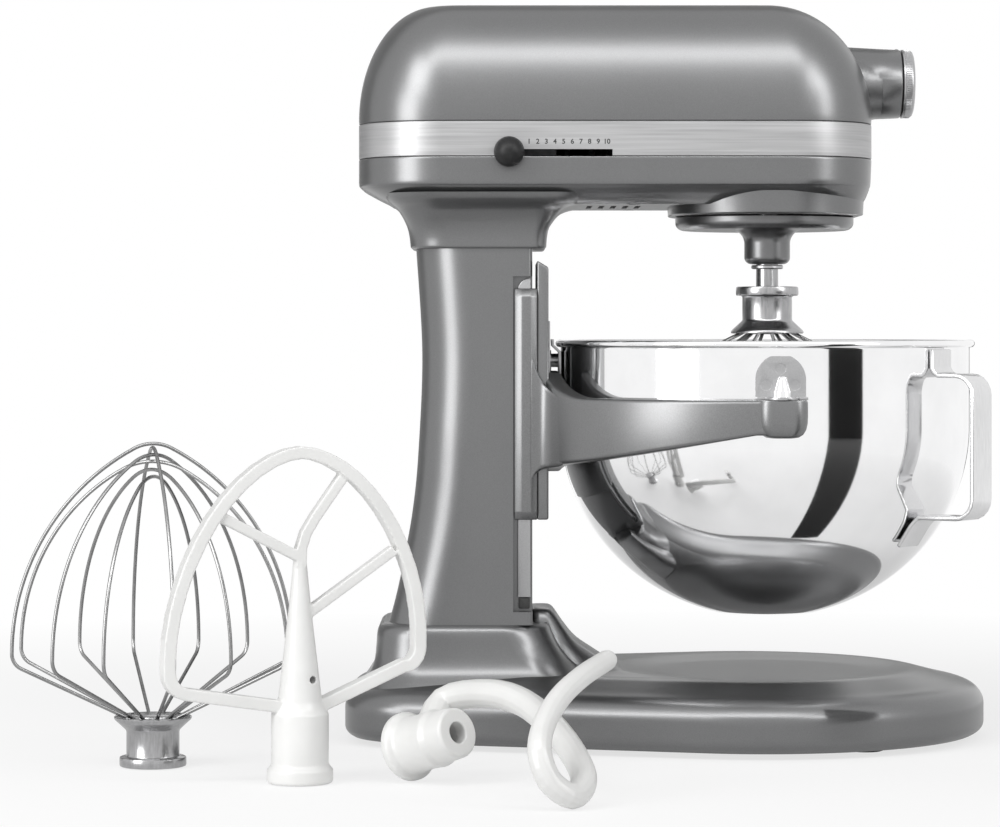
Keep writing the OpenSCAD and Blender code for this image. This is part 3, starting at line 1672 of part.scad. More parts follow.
module bowl_pins() {
  color([0.82, 0.82, 0.84])
    both_sides() {
      rod_z(arm_z1 - pin_root_l, arm_z1 + seat, pin_root_r, axis_x, pin_y);
      rod_z(arm_z1 + seat, arm_z1 + pin_straight, bowl_pin_r, axis_x, pin_y);
      translate([axis_x, pin_y, arm_z1 + pin_straight])
        cylinder(h = pin_l - pin_straight, r1 = bowl_pin_r, r2 = pin_top_r);
    }
}

latch_z = arm_z1 - 14;
latch_half = 17;
latch_top = button_z + 23;
module bowl_latch() {
  color([0.7, 0.71, 0.73]) {
    difference() {
      block([plate_x1 + seat, -latch_half, latch_z - 12], [leaf_x1, latch_half, latch_top]);
      block([plate_x1 - over, -7, button_z - 7], [leaf_x1 + over, 7, latch_top - 4]);
      for (step = [-bolt_step, bolt_step])
        rod_x(plate_x1 - over, leaf_x1 + over, screw_r + press, 0, latch_z + step);
    }
    for (step = [-bolt_step, bolt_step]) {
      rod_x(plate_x1 - 3.9, leaf_x1 + 0.1, screw_r, 0, latch_z + step);
      rod_x(leaf_x1, leaf_x1 + 1.8, screw_head_r, 0, latch_z + step);
    }
  }
}

yoke_x0 = lever_x - crank_r - 8;
// play that lets the pin's round path pass the carriage's even travel
yoke_play = 1.3;
slot_half_z = crank_pin_r + yoke_play;
module lift_yoke() {
  color([0.66, 0.67, 0.69])
    difference() {
      union() {
        block(
          [yoke_x0, yoke_y0, crank_pin_z - yoke_half],
          [plate_x0 - seat, yoke_y0 + yoke_t, crank_pin_z + yoke_half]
        );
        for (step = [-bolt_step, bolt_step])
          rod_x(plate_x0 - over, plate_x1 - 0.4, screw_r, yoke_y0 + yoke_t / 2, crank_pin_z + step);
      }
      block(
        [yoke_x0 + 3, yoke_y0 - over, crank_pin_z - slot_half_z],
        [crank_pin_x + 14, yoke_y0 + yoke_t + over, crank_pin_z + slot_half_z]
      );
    }
}

crank_y = yoke_y0 + yoke_t + 1.5;
crank_t = 6;
crank_half = 6;
module lift_crank() {
  color([0.66, 0.67, 0.69]) {
    rod_y(yoke_y0 - 2, crank_y + 1, crank_pin_r, crank_pin_x, crank_pin_z);
    translate([lever_x, 0, lever_z])
      rotate([0, 180 + lift_half_angle, 0])
        difference() {
          union() {
            block([0, crank_y, -crank_half], [crank_r, crank_y + crank_t, crank_half]);
            rod_y(crank_y, crank_y + crank_t, lever_pin_r + 3);
            rod_y(crank_y, crank_y + crank_t, crank_half, crank_r, 0);
          }
          rod_y(crank_y - over, crank_y + crank_t + over, lever_pin_r + press);
        }
  }
}

lever_out = column_half + 6;
lever_boss_r = 11;
lever_ball_r = 11;
module lift_lever() {
  color([0.08, 0.08, 0.08])
    translate([lever_x, 0, lever_z]) {
      rod_y(crank_y, lever_out + 4, lever_pin_r);
      rod_y(column_half + 1.2, lever_out + 8, lever_boss_r);
      upright([[-7, 0], [7, 0], [5.5, lever_l], [-5.5, lever_l]], 6, lever_out + 3);
      translate([0, lever_out + 8, lever_l + 2]) sphere(lever_ball_r);
    }
}

base_casting();
rubber_feet();
column_casting();
column_bolts();
guide_rails();
rail_stops();
lower_housing();
upper_housing();
housing_screws();
trim_band();
hub_sleeve();
hub_hinge_pin();
hub_cap();
attachment_knob();
cable_gland();
speed_arm();
speed_knob();
control_board();
motor_stator();
motor_brackets();
brush_holders();
armature();
cooling_fan();
worm();
worm_wheel();
intermediate_shaft();
centre_gear();
planetary_shaft();
hub_shaft();
gear_bracket();
planetary_bearing();
ring_gear();
planet_carrier();
beater_pinion();
beater_shaft();
beater_washer();
whip_hub();
whip_wires();
spare_whip_hub();
spare_whip_wires();
flat_beater();
dough_hook();
mixing_bowl();
bowl_handle();
bowl_side_brackets();
bowl_rear_bracket();
lift_carriage();
bowl_pins();
bowl_latch();
lift_yoke();
lift_crank();
lift_lever();
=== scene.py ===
from math import acos, asin, atan2, cos, degrees, hypot, pi, radians, sin, sqrt, tan

import bmesh
import bpy
from mathutils import Matrix, Vector


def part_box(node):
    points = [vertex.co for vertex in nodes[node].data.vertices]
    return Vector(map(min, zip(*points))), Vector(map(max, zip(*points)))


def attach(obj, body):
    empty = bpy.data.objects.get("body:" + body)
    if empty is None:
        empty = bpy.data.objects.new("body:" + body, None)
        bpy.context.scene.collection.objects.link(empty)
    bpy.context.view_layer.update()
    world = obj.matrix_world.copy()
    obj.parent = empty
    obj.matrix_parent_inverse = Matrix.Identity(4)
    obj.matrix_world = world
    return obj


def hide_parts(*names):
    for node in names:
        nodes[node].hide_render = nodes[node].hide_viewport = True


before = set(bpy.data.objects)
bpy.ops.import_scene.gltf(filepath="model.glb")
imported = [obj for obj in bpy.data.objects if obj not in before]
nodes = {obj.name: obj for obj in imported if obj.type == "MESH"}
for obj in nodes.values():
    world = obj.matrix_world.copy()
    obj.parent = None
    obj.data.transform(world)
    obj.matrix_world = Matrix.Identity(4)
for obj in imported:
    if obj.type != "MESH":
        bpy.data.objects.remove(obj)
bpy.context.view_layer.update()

mm = 0.001
scene = bpy.context.scene


# corners of a CAD node's box, in millimetres like every size below
def low(node):
    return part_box(node)[0] / mm


def high(node):
    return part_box(node)[1] / mm


def middle(node, axis):
    return (getattr(low(node), axis) + getattr(high(node), axis)) / 2


# stations that the pieces are placed by
axisX = round(middle("mixing_bowl", "x"), 2)
beaterY = round(middle("beater_shaft", "y"), 2)
hubZ = middle("hub_sleeve", "z")
columnFront = round(high("column_casting").x, 1)
columnBack = columnFront - 63.5
columnHalf = 50
collarTop = low("column_casting").z
columnTop = low("lower_housing").z
bandBottom = low("trim_band").z
bandTop = high("trim_band").z
headTop = high("upper_housing").z
headBottom = columnTop + 24.95
headBack = columnBack - 36.5
headFront = axisX + 60
headHalf = 73
toolZ = high("whip_hub").z
boltPlaces = [(x, y) for x in (-127.5, -94) for y in (-32, 32)]
passageX = -109.75
leverX, leverZ = -100, 150
thumbX = 127.2
hingeX, hingeZ = 135, 397.6
print("frame read")


def addObject(name, data):
    made = bpy.data.objects.new(name, data)
    scene.collection.objects.link(made)
    return made


cameraView = {"lens": 126.2, "place": (-0.0965, -2.05, 0.237), "shift": -0.0865}


def makeCamera():
    data = bpy.data.cameras.new("camera")
    data.lens = cameraView["lens"]
    data.shift_y = cameraView["shift"]
    data.clip_start = 0.05
    camera = addObject("camera", data)
    camera.location = cameraView["place"]
    camera.rotation_euler = (pi / 2, 0, 0)
    scene.camera = camera


makeCamera()


# wraps a socket, so that sums on values are written as Python sums
class Value:
    def __init__(self, tree, socket):
        self.tree = tree
        self.socket = socket

    def maths(self, operation, other, swap=False):
        sides = [other, self] if swap else [self, other]
        return self.tree.value("ShaderNodeMath", dict(enumerate(sides)), operation=operation)

    def __add__(self, other):
        return self.maths("ADD", other)

    def __radd__(self, other):
        return self.maths("ADD", other, True)

    def __sub__(self, other):
        return self.maths("SUBTRACT", other)

    def __rsub__(self, other):
        return self.maths("SUBTRACT", other, True)

    def __mul__(self, other):
        return self.maths("MULTIPLY", other)

    def __rmul__(self, other):
        return self.maths("MULTIPLY", other, True)

    def __truediv__(self, other):
        return self.maths("DIVIDE", other)


# a node tree; node() takes a type, its settings and the values or links of its sockets
class Tree:
    def __init__(self, tree):
        self.tree = tree

    def node(self, kind, sockets=None, **settings):
        made = self.tree.nodes.new(kind)
        for key, value in settings.items():
            if key == "stops":
                self.setStops(made.color_ramp, value)
            else:
                setattr(made, key, value)
        for key, value in (sockets or {}).items():
            self.feed(made.inputs[key], value)
        return made

    def value(self, kind, sockets=None, **settings):
        return Value(self, self.node(kind, sockets, **settings).outputs[0])

    # a node stands for its first output
    def feed(self, socket, value):
        if isinstance(value, Value):
            value = value.socket
        if isinstance(value, bpy.types.Node):
            value = value.outputs[0]
        if isinstance(value, bpy.types.NodeSocket):
            self.tree.links.new(value, socket)
        else:
            socket.default_value = value

    def setStops(self, ramp, stops):
        for element, (at, tone) in zip(ramp.elements, stops):
            element.position = at
            element.color = (*tone, 1)


# a material with one Principled shader
class Finish(Tree):
    def __init__(self, name, tone, roughness, metallic=0.0, coat=0.0, coatRoughness=0.03, specular=0.5):
        self.material = bpy.data.materials.new(name)
        self.material.use_nodes = True
        self.material.diffuse_color = (*tone, 1)
        super().__init__(self.material.node_tree)
        self.shader = self.tree.nodes["Principled BSDF"]
        self.place = self.node("ShaderNodeTexCoord").outputs["Object"]
        constants = {"Base Color": (*tone, 1), "Roughness": roughness, "Metallic": metallic, "Coat Weight": coat}
        constants.update({"Coat Roughness": coatRoughness, "Specular IOR Level": specular})
        for socket, value in constants.items():
            self.set(socket, value)

    def set(self, socket, value):
        self.feed(self.shader.inputs[socket], value)

    def noise(self, scale, detail=2, stretch=(1, 1, 1)):
        spread = self.node("ShaderNodeMapping", {"Vector": self.place, "Scale": stretch})
        return self.value("ShaderNodeTexNoise", {"Vector": spread, "Scale": scale, "Detail": detail})

    def tone(self, value, dark, light, ends=(0.3, 0.7)):
        stops = list(zip(ends, (dark, light)))
        self.set("Base Color", self.node("ShaderNodeValToRGB", {"Fac": value}, stops=stops))

    def bump(self, height, strength, distance=0.0002):
        sockets = {"Height": height, "Strength": strength, "Distance": distance}
        self.set("Normal", self.node("ShaderNodeBump", sockets))


# tone and roughness follow one grain, given by scale and detail; bump has its strength as well
def makeGrained(name, dark, light, rough, spread, grain, bump=None, ends=(0.3, 0.7), **shader):
    made = Finish(name, light, rough, **shader)
    fine = made.noise(*grain)
    made.tone(fine, dark, light, ends)
    if spread:
        made.set("Roughness", rough + fine * spread)
    if bump:
        made.bump(made.noise(*bump[:2]), *bump[2:])
    return made.material


# grey enamel full of fine metal flakes, under a clear coat
def makePaint():
    paint = Finish("silverPaint", (0.17, 0.171, 0.173), 0.34, metallic=0.9, coat=0.25, coatRoughness=0.22)
    flakes = paint.node("ShaderNodeTexVoronoi", {"Vector": paint.place, "Scale": 5200}, feature="F1")
    sparkle = paint.value("ShaderNodeSeparateColor", {"Color": flakes.outputs["Color"]})
    cloud = paint.noise(14, 3)
    paint.tone(sparkle * 0.6 + cloud * 0.4, (0.155, 0.156, 0.158), (0.205, 0.207, 0.209), (0.1, 0.9))
    paint.set("Roughness", 0.3 + sparkle * 0.05)
    paint.bump(paint.noise(620), 0.03)
    return paint.material


# trim band: brushed along its length
def makeBrushed():
    band = Finish("brushedTrim", (0.42, 0.42, 0.424), 0.4, metallic=0.75)
    lines = band.noise(900, 3, (0.02, 0.02, 1))
    broad = band.noise(160, 2, (0.015, 0.015, 1))
    band.tone(lines * 0.6 + broad * 0.4, (0.36, 0.36, 0.364), (0.48, 0.48, 0.484), (0.35, 0.65))
    band.set("Roughness", 0.34 + lines * 0.14)
    band.bump(lines, 0.06)
    return band.material


def makeMirror():
    steel = Finish("polishedSteel", (0.9, 0.9, 0.905), 0.05, metallic=1)
    wear = steel.noise(35, 4)
    fine = steel.noise(900, 2, (0.3, 0.3, 1))
    steel.set("Roughness", 0.035 + wear * 0.035 + fine * 0.015)
    steel.tone(wear, (0.87, 0.87, 0.875), (0.93, 0.93, 0.935))
    return steel.material


# steel turned or brushed to a soft gloss
def makeTurned(name, dark, light, rough):
    steel = Finish(name, light, rough, metallic=1)
    lines = steel.noise(900, 3, (1, 1, 0.15))
    steel.tone(lines * 0.5 + steel.noise(30) * 0.5, dark, light, (0.35, 0.65))
    steel.set("Roughness", rough - 0.03 + lines * 0.06)
    return steel.material


# machined or cast metal inside the head
def makeMetal(name, dark, light, rough, scale):
    return makeGrained(name, dark, light, rough - 0.06, 0.12, (scale, 4), (scale, 4, 0.1), metallic=1)


def makeBoard():
    board = Finish("circuitBoard", (0.03, 0.16, 0.08), 0.4)
    tracks = board.node("ShaderNodeTexBrick", {"Vector": board.place, "Scale": 160})
    cell = Value(board, tracks.outputs["Fac"])
    board.tone(cell, (0.03, 0.17, 0.08), (0.06, 0.3, 0.14), (0, 1))
    board.set("Roughness", 0.35 + cell * 0.2)
    return board.material


finishes = {
    "painted_casting": makePaint(),
    "lift_paint": makeGrained(
        "liftPaint", (0.172, 0.173, 0.175), (0.232, 0.234, 0.236), 0.31, 0.08, (1900, 3), (700, 2, 0.04),
        (0.25, 0.75), metallic=0.9, coat=0.2, coatRoughness=0.25,
    ),
    "brushed_trim": makeBrushed(),
    "polished_steel": makeMirror(),
    "satin_steel": makeGrained(
        "satinSteel", (0.38, 0.38, 0.385), (0.47, 0.47, 0.475), 0.26, 0.12, (1600, 3), (1600, 3, 0.03, 0.0001),
        (0.3, 0.75), metallic=1,
    ),
    "turned_steel": makeTurned("turnedSteel", (0.33, 0.33, 0.335), (0.46, 0.46, 0.465), 0.24),
    "handle_steel": makeTurned("handleSteel", (0.7, 0.7, 0.705), (0.78, 0.78, 0.785), 0.18),
    "wire": makeGrained("wireSteel", (0.26, 0.26, 0.26), (0.33, 0.33, 0.33), 0.25, 0.06, (90, 2), metallic=1),
    "coated_white": makeGrained(
        "whiteCoating", (0.71, 0.71, 0.7), (0.77, 0.77, 0.76), 0.28, 0.12, (28, 3), (520, 2, 0.05), coat=0.25,
        coatRoughness=0.2,
    ),
    "black_plastic": makeGrained(
        "blackPlastic", (0.009, 0.009, 0.0095), (0.016, 0.016, 0.0165), 0.36, 0.14, (700, 3),
        (700, 3, 0.06), specular=0.28,
    ),
    "rubber": makeGrained(
        "rubberBlack", (0.022, 0.022, 0.022), (0.042, 0.042, 0.042), 0.65, 0.2, (600, 4), (600, 4, 0.2, 0.0003),
    ),
    "gear_steel": makeMetal("gearSteel", (0.33, 0.33, 0.34), (0.5, 0.5, 0.51), 0.3, 300),
    "bronze": makeMetal("bronzeMetal", (0.45, 0.31, 0.13), (0.62, 0.45, 0.22), 0.32, 240),
    "cast_aluminium": makeMetal("castAluminium", (0.5, 0.5, 0.51), (0.64, 0.64, 0.65), 0.5, 420),
    "iron_core": makeMetal("ironCore", (0.16, 0.16, 0.17), (0.26, 0.26, 0.27), 0.45, 300),
    "board": makeBoard(),
    "print": makeGrained("digitInk", (0.028, 0.028, 0.028), (0.045, 0.045, 0.045), 0.55, 0, (2000, 2)),
}
print("finishes made")


def meshObject(name, points, faces, finish, angle=35):
    mesh = bpy.data.meshes.new(name)
    mesh.from_pydata([Vector(p) * mm for p in points], [], faces)
    mesh.validate()
    mesh.materials.append(finishes[finish])
    return smooth(addObject(name, mesh), angle)


# smooth shading with the sharp edges kept
def smooth(piece, angle=35):
    edit = bmesh.new()
    edit.from_mesh(piece.data)
    limit = radians(angle)
    for face in edit.faces:
        face.smooth = True
    for edge in edit.edges:
        edge.smooth = not (edge.is_manifold and edge.calc_face_angle(0) > limit)
    edit.to_mesh(piece.data)
    edit.free()
    return piece


def pointOutwards(piece):
    edit = bmesh.new()
    edit.from_mesh(piece.data)
    bmesh.ops.remove_doubles(edit, verts=edit.verts, dist=1e-6)
    bmesh.ops.recalc_face_normals(edit, faces=edit.faces)
    edit.to_mesh(piece.data)
    edit.free()
    return piece


# applies the piece's modifiers
def settle(piece):
    graph = bpy.context.evaluated_depsgraph_get()
    done = bpy.data.meshes.new_from_object(piece.evaluated_get(graph))
    piece.modifiers.clear()
    done.name = piece.data.name
    piece.data = done
    return piece


# corner circles of a plan outline: one radius at the back, one at the front
def boxCircles(x0, x1, half, r0, r1):
    back, front = x0 + r0, x1 - r1
    return [(back, half - r0, r0), (front, half - r1, r1), (front, r1 - half, r1), (back, r0 - half, r0)]


# outline wrapped round circles: the furthest of them in each direction
def wrapRing(circles, z, sides=144):
    ring = []
    for i in range(sides):
        turn = 2 * pi * (i + 0.5) / sides
        c, s = cos(turn), sin(turn)
        x, y, r = max(circles, key=lambda k: k[0] * c + k[1] * s + k[2])
        ring.append((x + r * c, y + r * s, z))
    return ring


# rows of numbers joined by smooth curves that never swing past their ends
def easedRows(rows, steps):
    made, last = [], len(rows) - 1
    for k in range(last):
        a, b, c, d = rows[max(k - 1, 0)], rows[k], rows[k + 1], rows[min(k + 2, last)]
        for i in range(steps):
            t = i / steps
            row = []
            for p, q, r, s in zip(a, b, c, d):
                square, cube = 2 * p - 5 * q + 4 * r - s, 3 * q - p - 3 * r + s
                value = 0.5 * (2 * q + (r - p) * t + square * t * t + cube * t ** 3)
                row.append(min(max(value, min(q, r)), max(q, r)))
            made.append(row)
    made.append(list(rows[-1]))
    return made


def loft(name, rings, finish="painted_casting"):
    n = len(rings[0])
    points = [p for ring in rings for p in ring]
    faces = [tuple(range(n))[::-1]]
    for k in range(len(rings) - 1):
        for i in range(n):
            j = (i + 1) % n
            faces.append((k * n + i, k * n + j, (k + 1) * n + j, (k + 1) * n + i))
    faces.append(tuple(range(len(points) - n, len(points))))
    return meshObject(name, points, faces, finish)


# solid of revolution about the Z axis through (x, y); profile is (radius, height)
def lathe(name, profile, x=0.0, y=0.0, sides=128, finish="painted_casting", angle=35):
    points, faces, rows = [], [], []
    for r, z in profile:
        if r < 1e-7:
            rows.append([len(points)])
            points.append((x, y, z))
        else:
            rows.append(list(range(len(points), len(points) + sides)))
            for i in range(sides):
                turn = 2 * pi * i / sides
                points.append((x + r * cos(turn), y + r * sin(turn), z))
    for a, b in zip(rows, rows[1:]):
        for i in range(sides):
            j = (i + 1) % sides
            face = dict.fromkeys([a[i % len(a)], a[j % len(a)], b[j % len(b)], b[i % len(b)]])
            if len(face) > 2:
                faces.append(tuple(face))
    return smooth(pointOutwards(meshObject(name, points, faces, finish, angle)), angle)


def arc(x, z, r, a0, a1, steps):
    turns = [radians(a0 + (a1 - a0) * i / steps) for i in range(steps + 1)]
    return [(x + r * cos(turn), z + r * sin(turn)) for turn in turns]


def block(name, lowCorner, highCorner, finish="painted_casting"):
    (x0, y0, z0), (x1, y1, z1) = lowCorner, highCorner
    points = [(x, y, z) for z in (z0, z1) for y in (y0, y1) for x in (x0, x1)]
    faces = [(0, 2, 3, 1), (4, 5, 7, 6), (0, 1, 5, 4), (2, 6, 7, 3), (0, 4, 6, 2), (1, 3, 7, 5)]
    return meshObject(name, points, faces, finish)


# a piece turned so that its Z axis lies along X or Y, then moved
def laid(piece, axis, place=(0, 0, 0)):
    turn = {"X": Matrix.Rotation(pi / 2, 4, "Y"), "Y": Matrix.Rotation(-pi / 2, 4, "X")}[axis]
    piece.data.transform(Matrix.Translation(Vector(place) * mm) @ turn)
    return piece


# plain rods: the place across the rod, its two ends and its radius
def rodZ(name, x, y, z0, z1, r, sides=96):
    return lathe(name, [(0, z0), (r, z0), (r, z1), (0, z1)], x, y, sides)


def rodX(name, y, z, x0, x1, r, sides=48):
    return laid(rodZ(name, 0, 0, x0, x1, r, sides), "X", (0, y, z))


def rodY(name, x, z, y0, y1, r, sides=48):
    return laid(rodZ(name, 0, 0, y0, y1, r, sides), "Y", (x, 0, z))


def rods(name, places, z0, z1, r, sides=32):
    return [rodZ(name, x, y, z0, z1, r, sides) for x, y in places]


# cuts with other pieces, or joins them, and uses them up
def carve(piece, others, operation="DIFFERENCE"):
    for other in others:
        step = piece.modifiers.new("cut", "BOOLEAN")
        step.operation = operation
        step.solver = "EXACT"
        step.object = other
    settle(piece)
    for other in others:
        bpy.data.objects.remove(other)
    return piece


def join(piece, others):
    return carve(piece, others, "UNION")


def place(piece, body, slot, *replaced):
    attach(piece, body)
    if replaced:
        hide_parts(*replaced)
    return piece


def cutCasting(body, cuts, angle, node, slot="painted_casting"):
    place(smooth(carve(body, cuts), angle), "stand", slot, node)


# a node of the frame keeps its mesh and takes its finish
def dress(finish, *names):
    for name in names:
        materials = nodes[name].data.materials
        for i in range(max(len(materials), 1)):
            if i < len(materials):
                materials[i] = finishes[finish]
            else:
                materials.append(finishes[finish])


def bevelled(piece, width, segments=4, limit=32):
    step = piece.modifiers.new("round", "BEVEL")
    step.width = width * mm
    step.segments = segments
    step.limit_method = "ANGLE"
    step.angle_limit = radians(limit)
    return settle(piece)


# a node's mesh, welded and with its edges softened, stands for the node
def softCopy(node, body, finish, bevel, slot=None):
    mesh = nodes[node].data.copy()
    mesh.name = node + "Soft"
    mesh.materials.clear()
    mesh.materials.append(finishes[finish])
    edit = bmesh.new()
    edit.from_mesh(mesh)
    bmesh.ops.remove_doubles(edit, verts=edit.verts, dist=2e-6)
    bmesh.ops.dissolve_limit(edit, angle_limit=radians(1), verts=edit.verts, edges=edit.edges)
    for face in edit.faces:
        face.material_index = 0
    edit.to_mesh(mesh)
    edit.free()
    piece = addObject(mesh.name, mesh)
    if bevel:
        bevelled(piece, bevel, 3)
    return place(smooth(piece, 30), body, slot or finish, node)


# a cast piece: the node's mesh remade with soft edges all over
def castCopy(node, body, finish, cell=0.55, rounds=4):
    piece = softCopy(node, body, finish, 0)
    step = piece.modifiers.new("remake", "REMESH")
    step.mode = "VOXEL"
    step.voxel_size = cell * mm
    step = piece.modifiers.new("relax", "SMOOTH")
    step.factor = 0.5
    step.iterations = rounds
    smooth(settle(piece), 180)


# puts meshes that only touch or cross into one piece
def gather(name, parts):
    mesh = bpy.data.meshes.new(name)
    edit = bmesh.new()
    for part in parts:
        edit.from_mesh(part.data)
    edit.to_mesh(mesh)
    edit.free()
    for material in parts[0].data.materials:
        mesh.materials.append(material)
    piece = addObject(name, mesh)
    for part in parts:
        bpy.data.objects.remove(part)
    return piece


# geometry nodes that set copies of a mesh round the Z axis
def ringTree():
    group = bpy.data.node_groups.new("ringCopies", "GeometryNodeTree")
    for name, kind in [("Mesh", "Geometry"), ("Count", "Int"), ("Finish", "Material")]:
        group.interface.new_socket(name, in_out="INPUT", socket_type="NodeSocket" + kind)
    group.interface.new_socket("Mesh", in_out="OUTPUT", socket_type="NodeSocketGeometry")
    tree = Tree(group)
    given = tree.node("NodeGroupInput").outputs
    line = tree.node("GeometryNodeMeshLine", {"Count": given["Count"], "Offset": (0, 0, 0)})
    share = tree.value("GeometryNodeInputIndex") / given["Count"]
    turn = tree.node("ShaderNodeCombineXYZ", {"Z": share * (2 * pi)})
    sockets = {"Points": line, "Instance": given["Mesh"], "Rotation": turn}
    copies = tree.node("GeometryNodeInstanceOnPoints", sockets)
    real = tree.node("GeometryNodeRealizeInstances", {"Geometry": copies})
    paint = tree.node("GeometryNodeSetMaterial", {"Geometry": real, "Material": given["Finish"]})
    tree.node("NodeGroupOutput", {"Mesh": paint})
    return group


ringCopies = ringTree()


def ringOf(piece, count, finish):
    step = piece.modifiers.new("copies", "NODES")
    step.node_group = ringCopies
    names = {item.name: item.identifier for item in ringCopies.interface.items_tree if item.in_out == "INPUT"}
    step[names["Count"]] = count
    step[names["Finish"]] = finishes[finish]
    return smooth(settle(piece))


# base: a plate with a toe and a heel, the column's collar and the ridge in front of it
plate = {
    "bottom": 3, "height": 36, "toe": [49.5, 135.5], "heelX": -135.5, "heelY": 38, "heelR": 49.8,
    "rows": [
        [0, 5], [0.06, 1.8], [0.17, 0], [0.48, 0], [0.62, 1.8], [0.73, 5.5],
        [0.8, 11], [0.85, 19], [0.93, 30], [0.985, 38], [1, 43],
    ],
}
collar = {
    "bottom": 28.92, "top": 67, "round": 28,
    "rows": [
        [0, 36, 66, 22], [0.16, 32, 44, 17], [0.3, 29, 31, 13], [0.46, 27, 22, 10.5],
        [0.66, 26.2, 15.5, 9], [0.86, 25.6, 11.5, 8], [0.95, 24.4, 10.2, 6.8], [1, 22, 8.5, 5],
    ],
}
# rows of the ridge: level, reach and half width
spine = [
    [36, 62, 50], [39, 54, 45], [42.5, 45, 40], [48.6, 35, 35], [55.3, 25.4, 31], [63.7, 18.4, 28],
    [69.5, 14.4, 26], [72.6, 12, 24], [73.8, 10, 22],
]
dishForm = {"flat": 58, "slope": 30, "deep": 2.4}
footPlaces = [(0, 0), (-151.5, 60), (-151.5, -60), (107.5, 88), (107.5, -88)]


def plateRing(inset, z):
    x, r = plate["toe"]
    y, heel = plate["heelY"], plate["heelR"] - inset
    return wrapRing([(x, 0, r - inset), (plate["heelX"], y, heel), (plate["heelX"], -y, heel)], z)


def collarRing(row, inset):
    share, back, front, side = row
    r, z = collar["round"] - inset, collar["bottom"]
    x0, x1 = columnBack - back + inset, columnFront + front - inset
    return wrapRing(boxCircles(x0, x1, columnHalf + side - inset, r, r), z + share * (collar["top"] - z))


# profile of the shallow recess under the bowl
def dishProfile(top):
    flat, slope, deep = dishForm["flat"], dishForm["slope"], dishForm["deep"]
    profile = [(0, top - deep), (flat, top - deep)]
    for i in range(1, 13):
        profile.append((flat + slope * i / 12, top - deep * (0.5 + 0.5 * cos(pi * i / 12))))
    return profile + [(88.5, top + 1), (0, top + 1)]


def buildBase():
    bottom, height = plate["bottom"], plate["height"]
    rows = easedRows(plate["rows"], 5)
    body = loft("baseBody", [plateRing(inset, bottom + share * height) for share, inset in rows])
    neck = loft("collar", [collarRing(row, 0) for row in easedRows(collar["rows"], 5)])
    ridge = []
    for z, reach, half in easedRows(spine, 5):
        ridge.append(wrapRing(boxCircles(columnFront + 0.5, columnFront + reach, half, 4, reach / 2 - 0.5), z))
    join(body, [neck, loft("spine", ridge)])
    inner = [(9, 2), (4, 10.2), (5, 21), (16, 28.92), (43, 32)]
    inner = loft("inner", [plateRing(inset, z) for inset, z in inner])
    carve(inner, rods("pad", footPlaces, 1, 39, 14, 96))
    cuts = [inner, loft("shaft", [collarRing(row, 7) for row in easedRows(collar["rows"][:6], 4)])]
    cuts.append(lathe("dish", dishProfile(bottom + height), axisX))
    cuts += rods("hole", footPlaces, 2, 9, 5, 48)
    cuts.append(rodZ("passage", passageX, 0, 55, 68, 14))
    cuts += rods("bolt", boltPlaces, 55, 68, 3.4)
    cutCasting(body, cuts, 32, "base_casting")


buildBase()


def buildFeet():
    profile = [(0, 0), (9.4, 0), (10.4, 0.35), (11, 1.2), (11, 2.95), (4.98, 2.95), (4.98, 8.4)]
    profile += [(4.4, 8.95), (0, 8.95)]
    feet = [lathe("foot", profile, x, y, 64, "rubber") for x, y in footPlaces]
    place(gather("feet", feet), "stand", "rubber", "rubber_feet")


buildFeet()

columnForm = {
    "top": 281.95, "round": 30, "edge": 3,
    "rows": [
        [0, 19, 3], [0.08, 14.5, 2], [0.18, 10, 1.2], [0.3, 5.5, 0.4], [0.45, 2.3, 0], [0.72, 0, 0], [1, 3.5, 0],
    ],
}


def columnRing(row, inset=0):
    share, back, side = row
    x0, x1, half = columnBack - back + inset, columnFront - inset, columnHalf + side - inset
    circles = boxCircles(x0, x1, half, columnForm["round"] - inset, columnForm["edge"])
    return wrapRing(circles, collarTop + share * (columnForm["top"] - collarTop))


def buildColumn():
    rows = easedRows(columnForm["rows"], 8)
    body = loft("columnBody", [columnRing(row) for row in rows])
    inner = loft("inner", [columnRing(row, 4) for row in rows if 0.03 < row[0] < 0.97])
    added = [block("channel", (-93, y, 69), (columnFront - 0.5, y + 8, 280)) for y in (-48, 40)]
    carve(body, [inner])
    added.append(rodY("boss", leverX, leverZ, 38, 49, 10, 96))
    join(body, added)
    cuts = [block("groove", (-89, y - 7.5, 74.5), (-70, y + 7.5, 266)) for y in (-51.5, 51.5)]
    cuts.append(block("yokeSlot", (-84, 18.6, 124.6), (-70, 24.4, 175.4)))
    cuts.append(rodY("leverHole", leverX, leverZ, 34, 59, 6.05))
    cuts.append(rodZ("passage", passageX, 0, 60, 290, 14, 64))
    cuts += rods("bolt", boltPlaces, 60, 75, 3.02)
    cuts += rods("bolt", boltPlaces, 275, 290, 3.02)
    cutCasting(body, cuts, 32, "column_casting")


buildColumn()
print("stand built")


